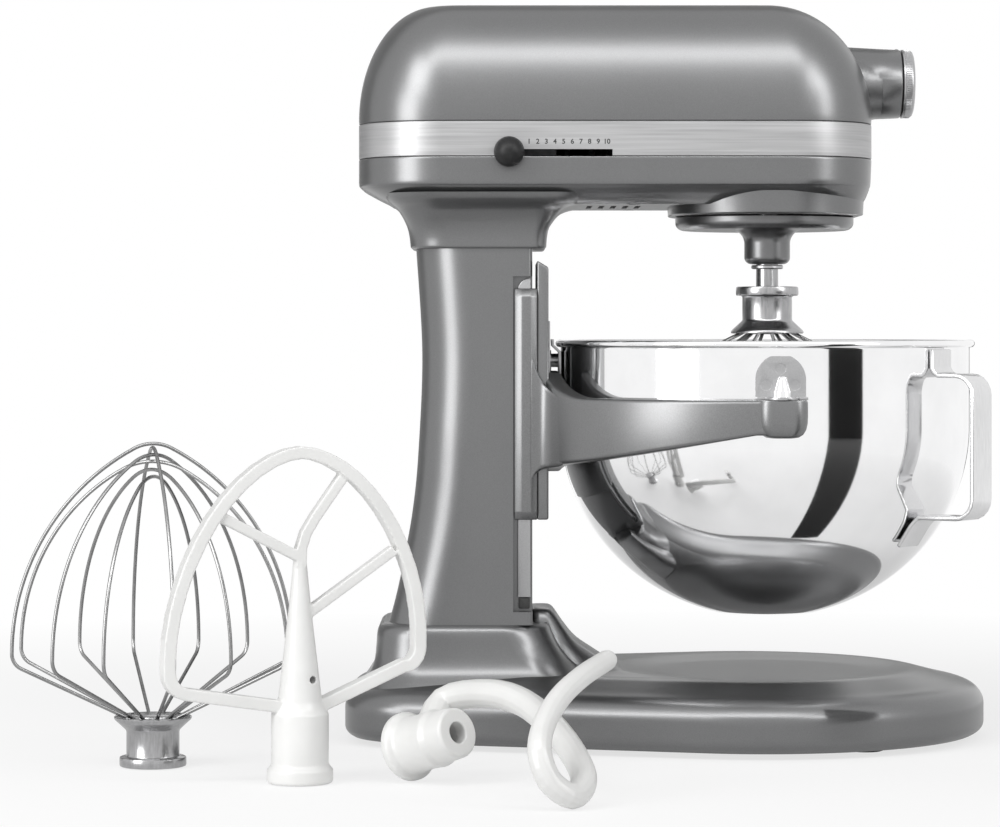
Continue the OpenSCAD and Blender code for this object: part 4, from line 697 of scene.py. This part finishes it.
# head: its underside's rows, the neck on the column and the skirt round the planet carrier
underRows = [
    [0, 19, 6, 16], [0.07, 16, 4.6, 12.6], [0.16, 11.3, 3.2, 8.8], [0.26, 6.5, 2.2, 4.8],
    [0.38, 1.4, 1.2, 1.4], [0.5, 0, 0.6, 0], [1, 0, 0, 0],
]
neckForm = {
    "round": 22, "edge": 8, "lip": [(1.3, 0), (0.5, 0.25), (0.1, 0.8)],
    "rows": [
        [0, 6.5, 8, 3], [0.2, 7, 8.4, 3.5], [0.4, 8, 9.4, 4.8], [0.6, 10, 12, 7], [0.8, 12.9, 16, 10.6],
        [0.9, 15, 20.5, 13.2], [1, 18, 29.5, 16.6], [1.1, 20, 33, 19.4], [1.22, 21, 35, 21.2],
    ],
}
skirtRows = [(1.2, 301.4), (0.4, 301.6), (0, 302.2), (-0.4, 310), (-0.8, 314), (-1, 316)]
bearingPlace = (7.96, 24)
bossPlaces = [(-156, 40), (-156, -40), (-20, 50), (-20, -50)]
postPlaces = [(94, 46), (94, -46), (8, 46), (8, -46)]


def headCircles(back, front, side):
    r0, r1 = (max(50 - 0.8 * max(end, side), 1) for end in (back, front))
    return boxCircles(headBack + back, headFront - front, headHalf - side, r0, r1)


def evenRing(inset, z):
    return wrapRing(headCircles(inset, inset, inset), z)


def underRing(row, inset, z0, z1):
    share, back, front, side = row
    return wrapRing(headCircles(back + inset, front + inset, side + inset), z0 + share * (z1 - z0))


def neckRing(row, inset, z0, z1):
    share, back, front, side = row
    x0, x1, half = columnBack - back + inset, columnFront + front - inset, columnHalf + side - inset
    r0, r1 = neckForm["round"] + (side - 3) * 0.5 - inset, neckForm["edge"] + (side - 3) * 0.9 - inset
    return wrapRing(boxCircles(x0, x1, half, r0, r1), z0 + share * (z1 - z0))


def skirtRing(inset, z):
    return wrapRing(boxCircles(axisX - 55.6 + inset, axisX + 55.6 - inset, 68.2 - inset, 54, 49.6 - inset), z)


def buildLower():
    top = bandBottom - 0.15
    rings = [underRing(row, 0, headBottom, top - 0.5) for row in easedRows(underRows, 8)]
    body = loft("lowerHead", rings + [evenRing(0.15, top - 0.2), evenRing(0.5, top)])
    neck = [neckRing(neckForm["rows"][0], inset, columnTop + z, 0) for inset, z in neckForm["lip"]]
    neck += [neckRing(row, 0, columnTop + 1.3, headBottom + 1) for row in easedRows(neckForm["rows"], 7)]
    join(body, [loft("neck", neck), loft("skirt", [skirtRing(inset, z) for inset, z in skirtRows])])
    inner = [underRing(row, 4, 311, bandBottom + 1) for row in easedRows(underRows, 4)]
    shaft = [neckRing(row, 4, columnTop + 6, 312) for row in easedRows(neckForm["rows"][:6], 4)]
    carve(body, [loft("cavity", inner), loft("shaft", shaft)])
    solids = [rodZ("case", axisX, 0, 310, 320, 55.1, 128), rodZ("bearing", *bearingPlace, 310, 320, 8, 48)]
    solids += rods("boss", bossPlaces[:2], 313, 333.5, 6, 48) + rods("boss", bossPlaces[2:], 309, 333.5, 6, 48)
    solids += rods("post", postPlaces, 309, 335.95, 6, 48)
    join(body, solids)
    cuts = [rodZ("bore", axisX, 0, 300, 316, 51.6, 160), rodZ("shaftHole", axisX, 0, 315, 321, 11, 64)]
    cuts.append(rodZ("smallHole", *bearingPlace, 317.2, 321, 4.05, 48))
    cuts += rods("head", bossPlaces[2:], 306, 316, 4.1, 48)
    cuts += rods("screw", bossPlaces, 315, 335, 2.4)
    cuts += rods("screw", postPlaces, 312, 337, 2.02)
    cuts += rods("bolt", boltPlaces, 281, 289, 3.4)
    cuts.append(rodZ("passage", passageX, 0, 281, 289, 14, 64))
    cuts.append(rodY("gland", -146, 323, 65, 74, 6.02))
    cuts += [block("vent", (-46 + i * 7, -22, 306), (-43 + i * 7, 22, 312)) for i in range(5)]
    cutCasting(body, cuts, 30, "lower_housing")


buildLower()
print("lower head built")

hub = {
    "barrel": [
        (0, 88), (22.6, 88), (21.4, 108), (20.5, 124), (19.95, 136.2), (19.6, 136.8), (19.0, 137.2), (0, 137.2),
    ],
    "flare": [
        (0, 96), (22.3, 96), (23, 104), (23.2, 110), (22.8, 114.5), (22, 118.5), (21.2, 122), (20.7, 125),
        (19, 126), (0, 126),
    ],
}
crown = {
    "foot": 356, "back": 44, "front": 59, "side": 38, "drop": 2.2,
    "dome": [(0.25, 0.5), (0.5, 1.0), (0.75, 1.5), (1, 2.0), (1.03, 2.2)],
}


# elliptical shoulders up to a top that rises a little more towards its middle
def crownRings(inset, steps):
    back, front, side = crown["back"], crown["front"], crown["side"]
    z0, z1 = crown["foot"], headTop - inset
    rings = []
    for i in range(steps + 1):
        turn = radians(87.5) * i / steps
        share = 1 - cos(turn)
        circles = headCircles(back * share + inset, front * share + inset, side * share + inset)
        rings.append(wrapRing(circles, z0 + sin(turn) * (z1 - crown["drop"] - z0)))
    for t, rise in crown["dome"]:
        circles = headCircles(back + 17 * t, front + 5 * t, side + 22 * t)
        rings.append(wrapRing(circles, z1 - crown["drop"] + rise))
    return rings


def headLoft(name, foot, inset, steps):
    return loft(name, [evenRing(i, z) for i, z in foot] + crownRings(inset, steps))


def hingeNotch():
    return block("notch", (132.2, -2.4, 395.4), (138.5, 2.4, 403))


def buildUpper():
    foot = [(2.1, bandBottom + 0.05), (2.1, bandTop + 0.15), (0.5, bandTop + 0.15), (0.12, bandTop + 0.5)]
    body = headLoft("upperHead", foot, 0, 40)
    carve(body, [headLoft("cavity", [(5.25, 332), (5.25, 353.5), (4, 355.5)], 4, 20)])
    bosses = rods("boss", bossPlaces, 333.6, 400, 6, 48)
    bosses += [rodY("lug", x, 367.5, -72, -59.6, 4, 32) for x in (-95.4, -25.4)]
    keep = headLoft("keep", [(3.1, 333.6), (3.1, 353.5), (2.2, 355)], 2, 20)
    bosses = gather("bosses", bosses)
    carve(bosses, [keep], "INTERSECT")
    barrel = laid(lathe("barrel", hub["barrel"], sides=160), "X", (0, 0, hubZ))
    flare = lathe("flare", hub["flare"], sides=160)
    flare.data.transform(Matrix.Diagonal((0.9, 1, 1, 1)))
    laid(flare, "X", (0, 0, hubZ - 1.6))
    join(body, [bosses, barrel, flare, rodY("thumb", thumbX, hubZ, 17.9, 23.8, 8, 64)])
    cuts = [rodX("bore", 0, hubZ, 117.2, 139, 17.42, 128), rodX("pocket", 0, hubZ, 108.2, 118.2, 13, 64)]
    cuts.append(rodX("shaftHole", 0, hubZ, 86, 118, 6.05))
    cuts.append(rodY("screwHole", thumbX, hubZ, 15.9, 25, 3.05))
    cuts.append(rodY("hinge", hingeX, hingeZ, -4, 4, 0.82, 24))
    cuts.append(hingeNotch())
    cuts += rods("screw", bossPlaces, 332, 345, 2.02)
    cuts.append(block("slot", (-94, -74, 332), (-33, -65, 337.45)))
    cutCasting(body, cuts, 30, "upper_housing")


buildUpper()
print("upper head built")


def buildBand():
    rows = [(0.35, 0.15), (0.05, 0.4), (0, 0.8), (0, 19.1), (0.05, 19.5), (0.35, 19.75)]
    body = loft("band", [evenRing(inset, bandBottom + z) for inset, z in rows], "brushed_trim")
    cuts = [loft("inside", [evenRing(2, bandBottom - 1), evenRing(2, bandTop + 1)])]
    cuts.append(block("slot", (-94, -74, 332), (-33, -69, 337.4)))
    cutCasting(body, cuts, 30, "trim_band", "brushed_trim")


buildBand()

scale = {"first": -80.1, "step": 4.88, "height": 341.6, "size": 3.9, "face": -72.98}


def digit(i):
    curve = bpy.data.curves.new("digit", "FONT")
    curve.body = str(i + 1)
    curve.size = scale["size"] * mm
    curve.align_x = "CENTER"
    curve.align_y = "CENTER"
    curve.extrude = 0.05 * mm
    curve.offset = 0.1 * mm
    curve.resolution_u = 6
    holder = addObject("digit", curve)
    mesh = bpy.data.meshes.new_from_object(holder.evaluated_get(bpy.context.evaluated_depsgraph_get()))
    bpy.data.objects.remove(holder)
    spot = Vector((scale["first"] + scale["step"] * i, scale["face"], scale["height"])) * mm
    mesh.transform(Matrix.Translation(spot) @ Matrix.Rotation(pi / 2, 4, "X"))
    mesh.materials.clear()
    mesh.materials.append(finishes["print"])
    return addObject("digit", mesh)


place(gather("speedDigits", [digit(i) for i in range(10)]), "stand", "black_plastic")
print("band built")


def buildSleeve():
    profile = [(15.9, 117.25), (17.4, 117.25), (17.4, 136.3), (17.25, 136.8), (16.9, 137), (16.3, 137)]
    profile += [(16.0, 136.8), (15.9, 136.4), (15.9, 117.25)]
    sleeve = laid(lathe("hubLining", profile, finish="polished_steel"), "X", (0, 0, hubZ))
    cutCasting(sleeve, [rodY("screw", thumbX, hubZ, 5, 19, 3.4), hingeNotch()], 30, "hub_sleeve", "satin_steel")


buildSleeve()

cap = {"back": 137.6, "front": 144.6, "r": 19.6, "ridges": 110}


def buildCap():
    x0, x1, r = cap["back"], cap["front"], cap["r"]
    profile = [(0, x0 + 2.4), (15, x0 + 2.4), (15, x0), (19.4, x0), (20, x0 + 0.3), (20, x0 + 1.2), (r, x0 + 1.5)]
    profile += [(r, x1 - 2.2), (r - 0.2, x1 - 1.5), (r - 0.9, x1 - 0.7), (r - 2.2, x1 - 0.15), (r - 4, x1)]
    profile.append((0, x1))
    body = lathe("capBody", profile, sides=180, finish="satin_steel")
    points = []
    for side, tip in [(x0 + 1.5, x0 + 1.8), (x1 - 1.7, x1 - 2.3)]:
        points += [(r - 0.4, -0.45, side), (r + 0.34, 0, tip), (r - 0.4, 0.45, side)]
    faces = [(0, 2, 1), (3, 4, 5), (0, 1, 4, 3), (1, 2, 5, 4), (2, 0, 3, 5)]
    ridge = pointOutwards(meshObject("ridge", points, faces, "satin_steel"))
    ringOf(ridge, cap["ridges"], "satin_steel")
    body = laid(gather("hubCap", [body, ridge]), "X", (0, 0, hubZ))
    profile = [(0, -2), (1.6, -2), (1.8, -1.8), (1.8, 1.8), (1.6, 2), (0, 2)]
    knuckle = laid(lathe("knuckle", profile, sides=40, finish="satin_steel"), "Y", (hingeX, 0, hingeZ))
    tongue = block("tongue", (hingeX, -2, 395.8), (x0 + 1, 2, 398.6), "satin_steel")
    place(smooth(gather("hubCap", [body, knuckle, tongue]), 30), "cap", "brushed_trim", "hub_cap")


buildCap()

thumbKnob = {"foot": 16.7, "boss": 24.2, "head": 38.8, "r": 11.2, "ribs": 24}


def buildThumbKnob():
    y0, boss, y1, r = (thumbKnob[k] for k in ("foot", "boss", "head", "r"))
    profile = [(0, y0), (2.6, y0), (3, y0 + 0.4), (3, boss), (7, boss), (7.2, boss + 3.4), (10.4, boss + 3.6)]
    profile += [(r, boss + 4.6), (r, y1 - 2.4), (r - 0.5, y1 - 1.1), (r - 1.8, y1 - 0.3), (r - 3.6, y1)]
    profile += [(4, y1 - 0.6), (0, y1 - 0.7)]
    body = lathe("thumbBody", profile, sides=96, finish="black_plastic")
    profile = [(0, boss + 5), (0.5, boss + 5.1), (0.9, boss + 6), (0.9, y1 - 3.4), (0.5, y1 - 2.5), (0, y1 - 2.4)]
    rib = lathe("rib", profile, r - 0.1, 0, 12, "black_plastic")
    ringOf(rib, thumbKnob["ribs"], "black_plastic")
    knob = laid(gather("thumbKnob", [body, rib]), "Y", (thumbX, 0, hubZ))
    place(smooth(knob), "knob", "black_plastic", "attachment_knob")


buildThumbKnob()


def buildSpeedKnob():
    profile = [(0, -8.6)] + arc(0, 0, 8.6, -85, 59, 36)
    profile += [(4.3, 7.5), (3.2, 8.3), (1.62, 8.42), (1.62, 1.6), (0, 1.6)]
    knob = laid(lathe("leverBall", profile, sides=96, finish="black_plastic"), "Y", (-91.4, -84, 335.45))
    place(smooth(knob, 40), "speed_lever", "black_plastic", "speed_knob")


buildSpeedKnob()
print("hub fittings built")

carrier = {"foot": 293.3, "rim": 300.7, "r": 52}


def buildCarrier():
    z0, z1, r = carrier["foot"], carrier["rim"], carrier["r"]
    profile = [(0, z0), (44, z0)]
    for a in range(-90, 1, 10):
        turn = radians(a)
        profile.append((r - 5 + 5 * cos(turn), z0 + 4.6 + 4.6 * sin(turn)))
    profile += [(r, z1 - 0.2), (r - 0.2, z1), (24, z1), (18, 304.7), (0, 304.7)]
    body = lathe("carrierDish", profile, axisX, 0, 160)
    stub = [(0, 273.3)] + arc(9.2, 277.3, 4, -90, 0, 8) + arc(21.2, 285.3, 8, 180, 90, 12)
    join(body, [lathe("carrierStub", stub + [(21.2, 296), (0, 296)], axisX, beaterY, 96)])
    carve(body, [rodZ("bore", axisX, 0, 295.3, 306, 6.02, 48), rodZ("bore", axisX, beaterY, 270, 306, 6.4, 64)])
    place(smooth(body), "planetary", "painted_casting", "planet_carrier")


buildCarrier()


def buildShaft():
    r = 6.35
    profile = [(0, 240.3), (5.4, 240.3), (r, 241.2), (r, 305.3), (8.35, 305.3), (8.35, 306.45), (r, 306.45)]
    profile += [(r, 314.1), (6, 314.5), (0, 314.5)]
    shaft = lathe("toolShaft", profile, axisX, beaterY, 80, "turned_steel")
    profile = [(0, -11.5), (1.5, -11.5), (2, -11), (2, 11), (1.5, 11.5), (0, 11.5)]
    pin = laid(lathe("crossPin", profile, sides=40, finish="turned_steel"), "Y", (axisX, beaterY, 249.3))
    place(gather("toolShaft", [shaft, pin]), "beater", "satin_steel", "beater_shaft")
    profile = [(6.37, 270.5), (8.6, 270.5), (9.2, 271), (9.2, 272.3), (8.6, 272.8), (6.37, 272.8), (6.37, 270.5)]
    washer = lathe("washer", profile, axisX, beaterY, 80, "satin_steel")
    place(washer, "beater", "satin_steel", "beater_washer")


buildShaft()

# loops: how far each is turned, and how far it stays below the tallest
whip = {
    "hub": 27, "drum": 13, "wire": 1.0, "reach": 75.95, "elbowZ": 62, "elbowR": 9, "dome": 62, "height": 174,
    "loops": [[14, 0], [52, 6], [76, 17.8], [104, 2.2], [128, 14], [166, 9.6]], "lugs": 12,
}


# path of half a loop from the hub to the top, in X and Z
def halfLoop(tip):
    r, elbow, turn = whip["reach"], whip["elbowR"], radians(whip["dome"])
    share = 1 / cos(turn) - tan(turn)
    rise = tip - whip["elbowZ"]
    sideR = (rise - r * share) / (1 - share)
    topR = sideR - (sideR - r) / cos(turn)
    x, z = r - elbow, whip["elbowZ"]
    startX, startZ = whip["drum"] - 1, whip["hub"] - 1.8
    leg = hypot(x - startX, z - startZ)
    lean = degrees(atan2(z - startZ, x - startX) - asin(elbow / leg))
    path = [(startX, startZ)] + arc(x, z, elbow, lean - 90, 0, 12)
    path += [p for p in arc(r - sideR, z, sideR, 0, whip["dome"], 26) if p[1] > z + 0.01]
    topZ = z + (sideR - r) * tan(turn)
    path += arc(0, topZ, topR, whip["dome"], 90, 12)[1:]
    return path


# round wire along a path in X and Z
def sweep(path, sides=16):
    turns = [2 * pi * k / sides for k in range(sides)]
    r, rings, last = whip["wire"], [], len(path) - 1
    for i, (x, z) in enumerate(path):
        ahead, behind = path[min(i + 1, last)], path[max(i - 1, 0)]
        dx, dz = ahead[0] - behind[0], ahead[1] - behind[1]
        size = hypot(dx, dz)
        dx, dz = dx / size, dz / size
        rings.append([(x - dz * r * cos(t), r * sin(t), z + dx * r * cos(t)) for t in turns])
    return pointOutwards(loft("wire", rings, "wire"))


def whipWires():
    wires = []
    for turn, drop in whip["loops"]:
        half = halfLoop(whip["height"] - drop)
        wire = sweep(half + [(-x, z) for x, z in half[-2::-1]])
        wire.data.transform(Matrix.Rotation(radians(turn), 4, "Z"))
        wires.append(wire)
    return gather("wires", wires)


# drum and cup, with the crimped sockets of the wires round the inside of the cup
def whipHub():
    profile = [(0, 0), (17.2, 0), (17.8, 0.3), (18, 0.9), (18, 4.3), (17.8, 4.9), (17.2, 5.2), (15.4, 5.25)]
    profile += [(14.6, 5.6), (14.3, 6.4), (14.3, 18.6), (14.6, 19.6), (15.6, 20.6), (18.6, 23.4), (20.4, 25)]
    profile += [(20.95, 25.9), (20.95, 26.6), (20.4, 27.05), (19.4, 26.8), (16.6, 23.6), (15.6, 23.1), (13, 23)]
    profile += [(13, 26.6), (12.7, 27.2), (12.1, 27.5), (0, 27.5)]
    body = lathe("whipHub", profile, finish="turned_steel")
    socket = rodZ("socket", 0, 0, -1, 20, 6.47, 64)
    join(socket, [block("slot", (-2.3, -12.2, -1.5), (2.3, 12.2, 13.3))])
    carve(body, [socket])
    profile = [(0, 22.6), (1.5, 22.6), (1.9, 23), (1.9, 25.4), (1.5, 26.4), (0.9, 26.8), (0, 26.9)]
    lug = lathe("lug", profile, 14.6, 0, 20, "turned_steel")
    ringOf(lug, whip["lugs"], "turned_steel")
    return smooth(gather("whipHub", [body, lug]), 32)


def buildWhips():
    spareX, spareY = middle("spare_whip_hub", "x"), middle("spare_whip_hub", "y")
    down = Matrix.Translation(Vector((axisX, beaterY, toolZ)) * mm) @ Matrix.Rotation(pi, 4, "X")
    beside = Matrix.Translation(Vector((spareX, spareY, 0)) * mm)
    for way, body, prefix in [(down, "beater", ""), (beside, "spare_whip", "spare_")]:
        for piece, node in [(whipWires(), "whip_wires"), (whipHub(), "whip_hub")]:
            piece.data.transform(way)
            place(piece, body, "polished_steel", prefix + node)


buildWhips()
print("whips built")

castCopy("flat_beater", "loose_beater", "coated_white")
castCopy("dough_hook", "loose_hook", "coated_white")
print("cast tools built")

bowl = {"r": 119, "wall": 1.2, "bottom": 71.5, "rim": 227.4, "straight": 179.4, "flat": 30, "bead": 2.1}


def bowlCurve(grow, steps=72):
    r, straight = bowl["r"], bowl["straight"]
    a0 = acos(bowl["flat"] / r)
    drop = straight - bowl["bottom"] + grow
    curve = []
    for i in range(steps + 1):
        turn = a0 * (1 - i / steps)
        curve.append(((r + grow) * cos(turn), straight - drop * sin(turn) / sin(a0)))
    return curve


# rows up the straight wall keep its shading true
def buildBowl():
    r, rim, wall, bottom = bowl["r"], bowl["rim"], bowl["wall"], bowl["bottom"]
    rise = [bowl["straight"] + 4 * i for i in range(1, 12)]
    profile = [(0, bottom), (20, bottom)] + bowlCurve(0) + [(r, z) for z in rise + [rim - 2.9, rim - 2.5]]
    profile += arc(r + 0.9, rim, bowl["bead"], -110, 200, 28)
    profile += [(r - wall, z) for z in [rim - 1.6, rim - 2.2] + rise[::-1]]
    profile += bowlCurve(-wall)[::-1] + [(0, bottom + wall)]
    body = lathe("bowl", profile, axisX, 0, 256, "polished_steel", 40)
    place(body, "bowl", "polished_steel", "mixing_bowl")


buildBowl()
softCopy("bowl_handle", "bowl", "handle_steel", 0.8, "polished_steel")
softCopy("bowl_side_brackets", "bowl", "satin_steel", 0.4, "polished_steel")
softCopy("bowl_rear_bracket", "bowl", "satin_steel", 0.3, "polished_steel")
print("bowl built")

# bowl lift: the plate on the column, a bar on each rail and an arm round each side of the bowl
lift = {
    "back": -75.4, "front": -68.8, "top": 197, "pinY": 132,
    "earX": -88.2, "plateHalf": 50.6, "earFoot": 127, "earHead": 259,
}
# rows of the blend between bar and arm: station, foot, head and reach
gussetRows = [
    [-80, 146.5, 226, 53.2], [-78.4, 149, 220.5, 53.9], [-76.3, 152.6, 214.6, 54.1], [-73.6, 155.2, 208.6, 54.5],
    [-71, 156.2, 204.6, 55.9], [-68.4, 156.7, 201.8, 58.4], [-65.6, 157.2, 199.6, 62.2],
    [-63, 157.8, 198.2, 66.2], [-61, 158.6, 197.2, 69],
]
podRows = [
    (8.4, 176), (5, 176.5), (2.6, 178), (1, 180.6), (0.2, 184), (0, 188), (0, 195.8), (0.3, 196.6), (1.1, 197),
]


# a loft that may have been strung inside out
def castLoft(name, rings):
    return pointOutwards(loft(name, rings, "lift_paint"))


# how far a fillet of radius r has risen at distance d past its start
def filletRise(r, d):
    d = min(max(d, 0), r * 0.99)
    return r - sqrt(r * r - d * d)


# one arm of the lift: a rounded bar bent round the bowl, deeper towards its root
def arm(way):
    top, back, pinY, rings, steps, r = lift["top"], lift["back"], lift["pinY"], [], 75, 2.4
    for i in range(steps + 1):
        turn = radians(161 - 75 * i / steps)
        c, s = cos(turn), sin(turn)
        x = axisX + pinY * c
        share = min(max((x - back) / (axisX - 14 - back), 0), 1)
        foot = top - 41 + 21.6 * share - filletRise(9, -60 - x)
        head = top + filletRise(24, -45 - x)
        ring = []
        for cr, cz, a0 in [(-1, foot + r, 180), (1, foot + r, 270), (1, head - r, 0), (-1, head - r, 90)]:
            for k in range(6):
                a = radians(a0 + 18 * k)
                radial = pinY + cr * (6 - r) + r * cos(a)
                ring.append((axisX + radial * c, way * radial * s, cz + r * sin(a)))
        rings.append(ring)
    return castLoft("arm", rings)


# casting between a bar's side and the arm that leaves it
def gusset(way):
    rings = []
    for x, foot, head, out in easedRows(gussetRows, 3):
        ring = []
        corners = [(out - 3, foot + 3, 270), (out - 3, head - 3, 0), (49, head - 0.5, 90), (49, foot + 0.5, 180)]
        for y, z, a0 in corners:
            r = 3 if y > 49 else 0.5
            for k in range(5):
                a = radians(a0 + 22.5 * k)
                ring.append((x, way * (y + r * cos(a)), z + r * sin(a)))
        rings.append(ring)
    return castLoft("gusset", rings)


# rounded cup at the tip of an arm
def pod(way):
    rings = []
    for i, z in podRows:
        side = i * 0.6
        circles = boxCircles(axisX - 14 + i, axisX + 14 - i, 8.5 - side, 8.4 - side, 8.4 - side)
        rings.append(wrapRing(circles, z))
    piece = loft("pod", rings, "lift_paint")
    piece.data.transform(Matrix.Translation((0, way * lift["pinY"] * mm, 0)))
    return piece


# bar that runs on a rail, hipped at both ends
def bar(way):
    back, ear, foot, head = (lift[k] for k in ("back", "earX", "earFoot", "earHead"))
    rings = []
    for z, y0, y1 in [(foot, 50.4, 51.2), (foot + 4.6, 52, 54), (head - 4.6, 52, 54), (head, 50.4, 51.2)]:
        outline = [(ear, 40), (ear, y0), (ear + 4.2, y1), (back - 3.8, y1)]
        outline += [(back + 0.1, y0 + 0.2), (back + 0.1, 40)]
        rings.append([(x, way * y, z) for x, y in outline])
    return bevelled(castLoft("bar", rings), 0.5, 2, 15)


def buildCarriage():
    back, front, foot, head, half = (lift[k] for k in ("back", "front", "earFoot", "earHead", "plateHalf"))
    added = [bar(-1), bar(1), arm(-1), arm(1), pod(-1), pod(1)]
    outline = [(back, foot), (front, foot), (front, 268), (front, 271), (back, 275)]
    whole = bevelled(castLoft("plate", [[(x, y, z) for x, z in outline] for y in (-half, half)]), 1.2, 3)
    join(whole, added + [gusset(-1), gusset(1)])
    cuts = []
    for way in (-1, 1):
        y0, y1 = sorted((way * 39, way * 47.9))
        cuts.append(block("groove", (-86.8, y0, foot - 1), (-78.6, y1, head + 1)))
        cuts.append(rodZ("pinHole", axisX, way * lift["pinY"], 187, 198, 3.52, 48))
    cuts += [rodX("screw", 21.5, z, back - 1, front + 1, 2.02, 32) for z in (160, 172)]
    cuts += [rodX("screw", 0, z, front - 4, front + 1, 2.02, 32) for z in (177, 189)]
    place(smooth(carve(whole, cuts), 34), "carriage", "painted_casting", "lift_carriage")


buildCarriage()


def buildPins():
    z, pins = lift["top"], []
    for side in (-1, 1):
        profile = [(0, z - 10), (3.5, z - 10), (3.5, z + 0.05), (4.6, z + 0.05), (4.6, z + 4), (4.2, z + 5.4)]
        profile += [(2.5, z + 11.6), (2, z + 12.5), (1.2, z + 12.95), (0, z + 13)]
        pins.append(lathe("pin", profile, axisX, side * lift["pinY"], 64, "polished_steel"))
    place(gather("bowlPins", pins), "carriage", "polished_steel", "bowl_pins")


buildPins()
softCopy("bowl_latch", "carriage", "satin_steel", 0.25)
softCopy("lift_yoke", "carriage", "cast_aluminium", 0.3, "satin_steel")
softCopy("lift_crank", "lever", "cast_aluminium", 0.4, "satin_steel")
softCopy("lift_lever", "lever", "black_plastic", 1.2)
softCopy("guide_rails", "stand", "satin_steel", 0.4)
softCopy("rail_stops", "stand", "rubber", 0.5)
softCopy("cable_gland", "stand", "black_plastic", 0.5)
softCopy("speed_arm", "speed_lever", "satin_steel", 0.3)
print("lift built")


# inner works keep the frame's meshes
dress("satin_steel", "column_bolts", "housing_screws", "hub_hinge_pin", "motor_brackets", "gear_bracket")
dress("gear_steel", "armature", "worm", "intermediate_shaft", "planetary_shaft", "hub_shaft")
dress("gear_steel", "ring_gear", "beater_pinion", "centre_gear")
dress("bronze", "worm_wheel", "planetary_bearing", "brush_holders")
dress("iron_core", "motor_stator")
dress("black_plastic", "cooling_fan")
dress("board", "control_board")
print("inner works dressed")


# a flat card of the set in its own matt finish
def card(name, corners, material):
    piece = meshObject(name, corners, [(0, 1, 2, 3)], "coated_white")
    piece.data.materials[0] = material
    return piece


# camera and mirrors see the floor nearly white, with the soft shadows kept near the object
def makeFloor():
    floor = Finish("paleFloor", (0.86, 0.86, 0.86), 0.8)
    paths = floor.node("ShaderNodeLightPath").outputs
    reach = floor.node("ShaderNodeVectorMath", {0: floor.place}, operation="LENGTH").outputs["Value"]
    far = floor.value("ShaderNodeMapRange", {"Value": reach, "From Min": 0.2, "From Max": 0.9})
    seen = Value(floor, paths["Is Camera Ray"]) * (0.72 + far * 0.28)
    mirrored = Value(floor, paths["Is Glossy Ray"]) * (0.35 + far * 0.65)
    glow = floor.node("ShaderNodeEmission")
    mix = floor.node("ShaderNodeMixShader", {"Fac": seen + mirrored, 1: floor.shader, 2: glow})
    floor.feed(floor.tree.nodes["Material Output"].inputs["Surface"], mix)
    return floor.material


floorCorners = [(-9000, -9000, -0.4), (9000, -9000, -0.4), (9000, 9000, -0.4), (-9000, 9000, -0.4)]
card("floor", floorCorners, makeFloor())

# dark flags round the set, seen only in reflections: corners and tone
flags = {
    "backFlag": ([(-2600, 1300, 620), (650, 1300, 620), (650, 1300, 2600), (-2600, 1300, 2600)], 0.6),
    "lowFlag": ([(-2600, 1300, 0), (-560, 1300, 0), (-560, 1300, 620), (-2600, 1300, 620)], 0.5),
    "farFlag": ([(-560, 1300, 60), (560, 1300, 60), (560, 1300, 290), (-560, 1300, 290)], 0.3),
    "sideFlag": ([(867, -1399, 0), (1277, -1036, 0), (1277, -1036, 262), (867, -1399, 262)], 0.004),
    "footFlag": ([(82, -129, 30), (117, -121, 30), (1277, -1036, 22), (867, -1399, 22)], 0.004),
}
for name, (corners, tone) in flags.items():
    flag = card(name, corners, Finish(name, (tone, tone, tone), 1).material)
    flag.visible_camera = False
    flag.visible_diffuse = False
    flag.visible_shadow = False

# lamps: place, aim, width, height and power
lamps = {
    "topLight": ((0, -1.35, 1.7), (0, 0, 0.3), 1.7, 0.38, 12.5),
    "leftLight": ((-1.5, -1.2, 0.45), (0, 0, 0.25), 0.8, 0.85, 12),
    "cornerLight": ((-1.1, -1.2, 1.2), (0, 0, 0.35), 0.8, 0.7, 10.5),
    "rightLight": ((1.45, -1.1, 0.78), (0.05, 0, 0.3), 0.45, 0.85, 5.5),
    "noseLight": ((1.15, -1.3, 1.25), (0.05, 0, 0.35), 0.6, 0.5, 5),
}
for name, (spot, aim, width, height, power) in lamps.items():
    data = bpy.data.lights.new(name, "AREA")
    data.shape = "RECTANGLE"
    data.size, data.size_y = width, height
    data.energy = power
    lamp = addObject(name, data)
    lamp.location = spot
    lamp.rotation_euler = (Vector(aim) - Vector(spot)).to_track_quat("-Z", "Y").to_euler()


# white for the camera and mirrors, a soft grey glow for everything else
def buildWorld():
    world = bpy.data.worlds.new("world")
    scene.world = world
    world.use_nodes = True
    world.node_tree.nodes.clear()
    tree = Tree(world.node_tree)
    paths = tree.node("ShaderNodeLightPath").outputs
    seen = Value(tree, paths["Is Camera Ray"]).maths("MAXIMUM", paths["Is Glossy Ray"])
    shade = {"Color": (1, 1, 1, 1)}
    soft, white = (tree.node("ShaderNodeBackground", {**shade, "Strength": power}) for power in (0.2, 1))
    mix = tree.node("ShaderNodeMixShader", {"Fac": seen, 1: soft, 2: white})
    tree.node("ShaderNodeOutputWorld", {"Surface": mix})


buildWorld()
scene.view_settings.view_transform = "Standard"
print("stage set")
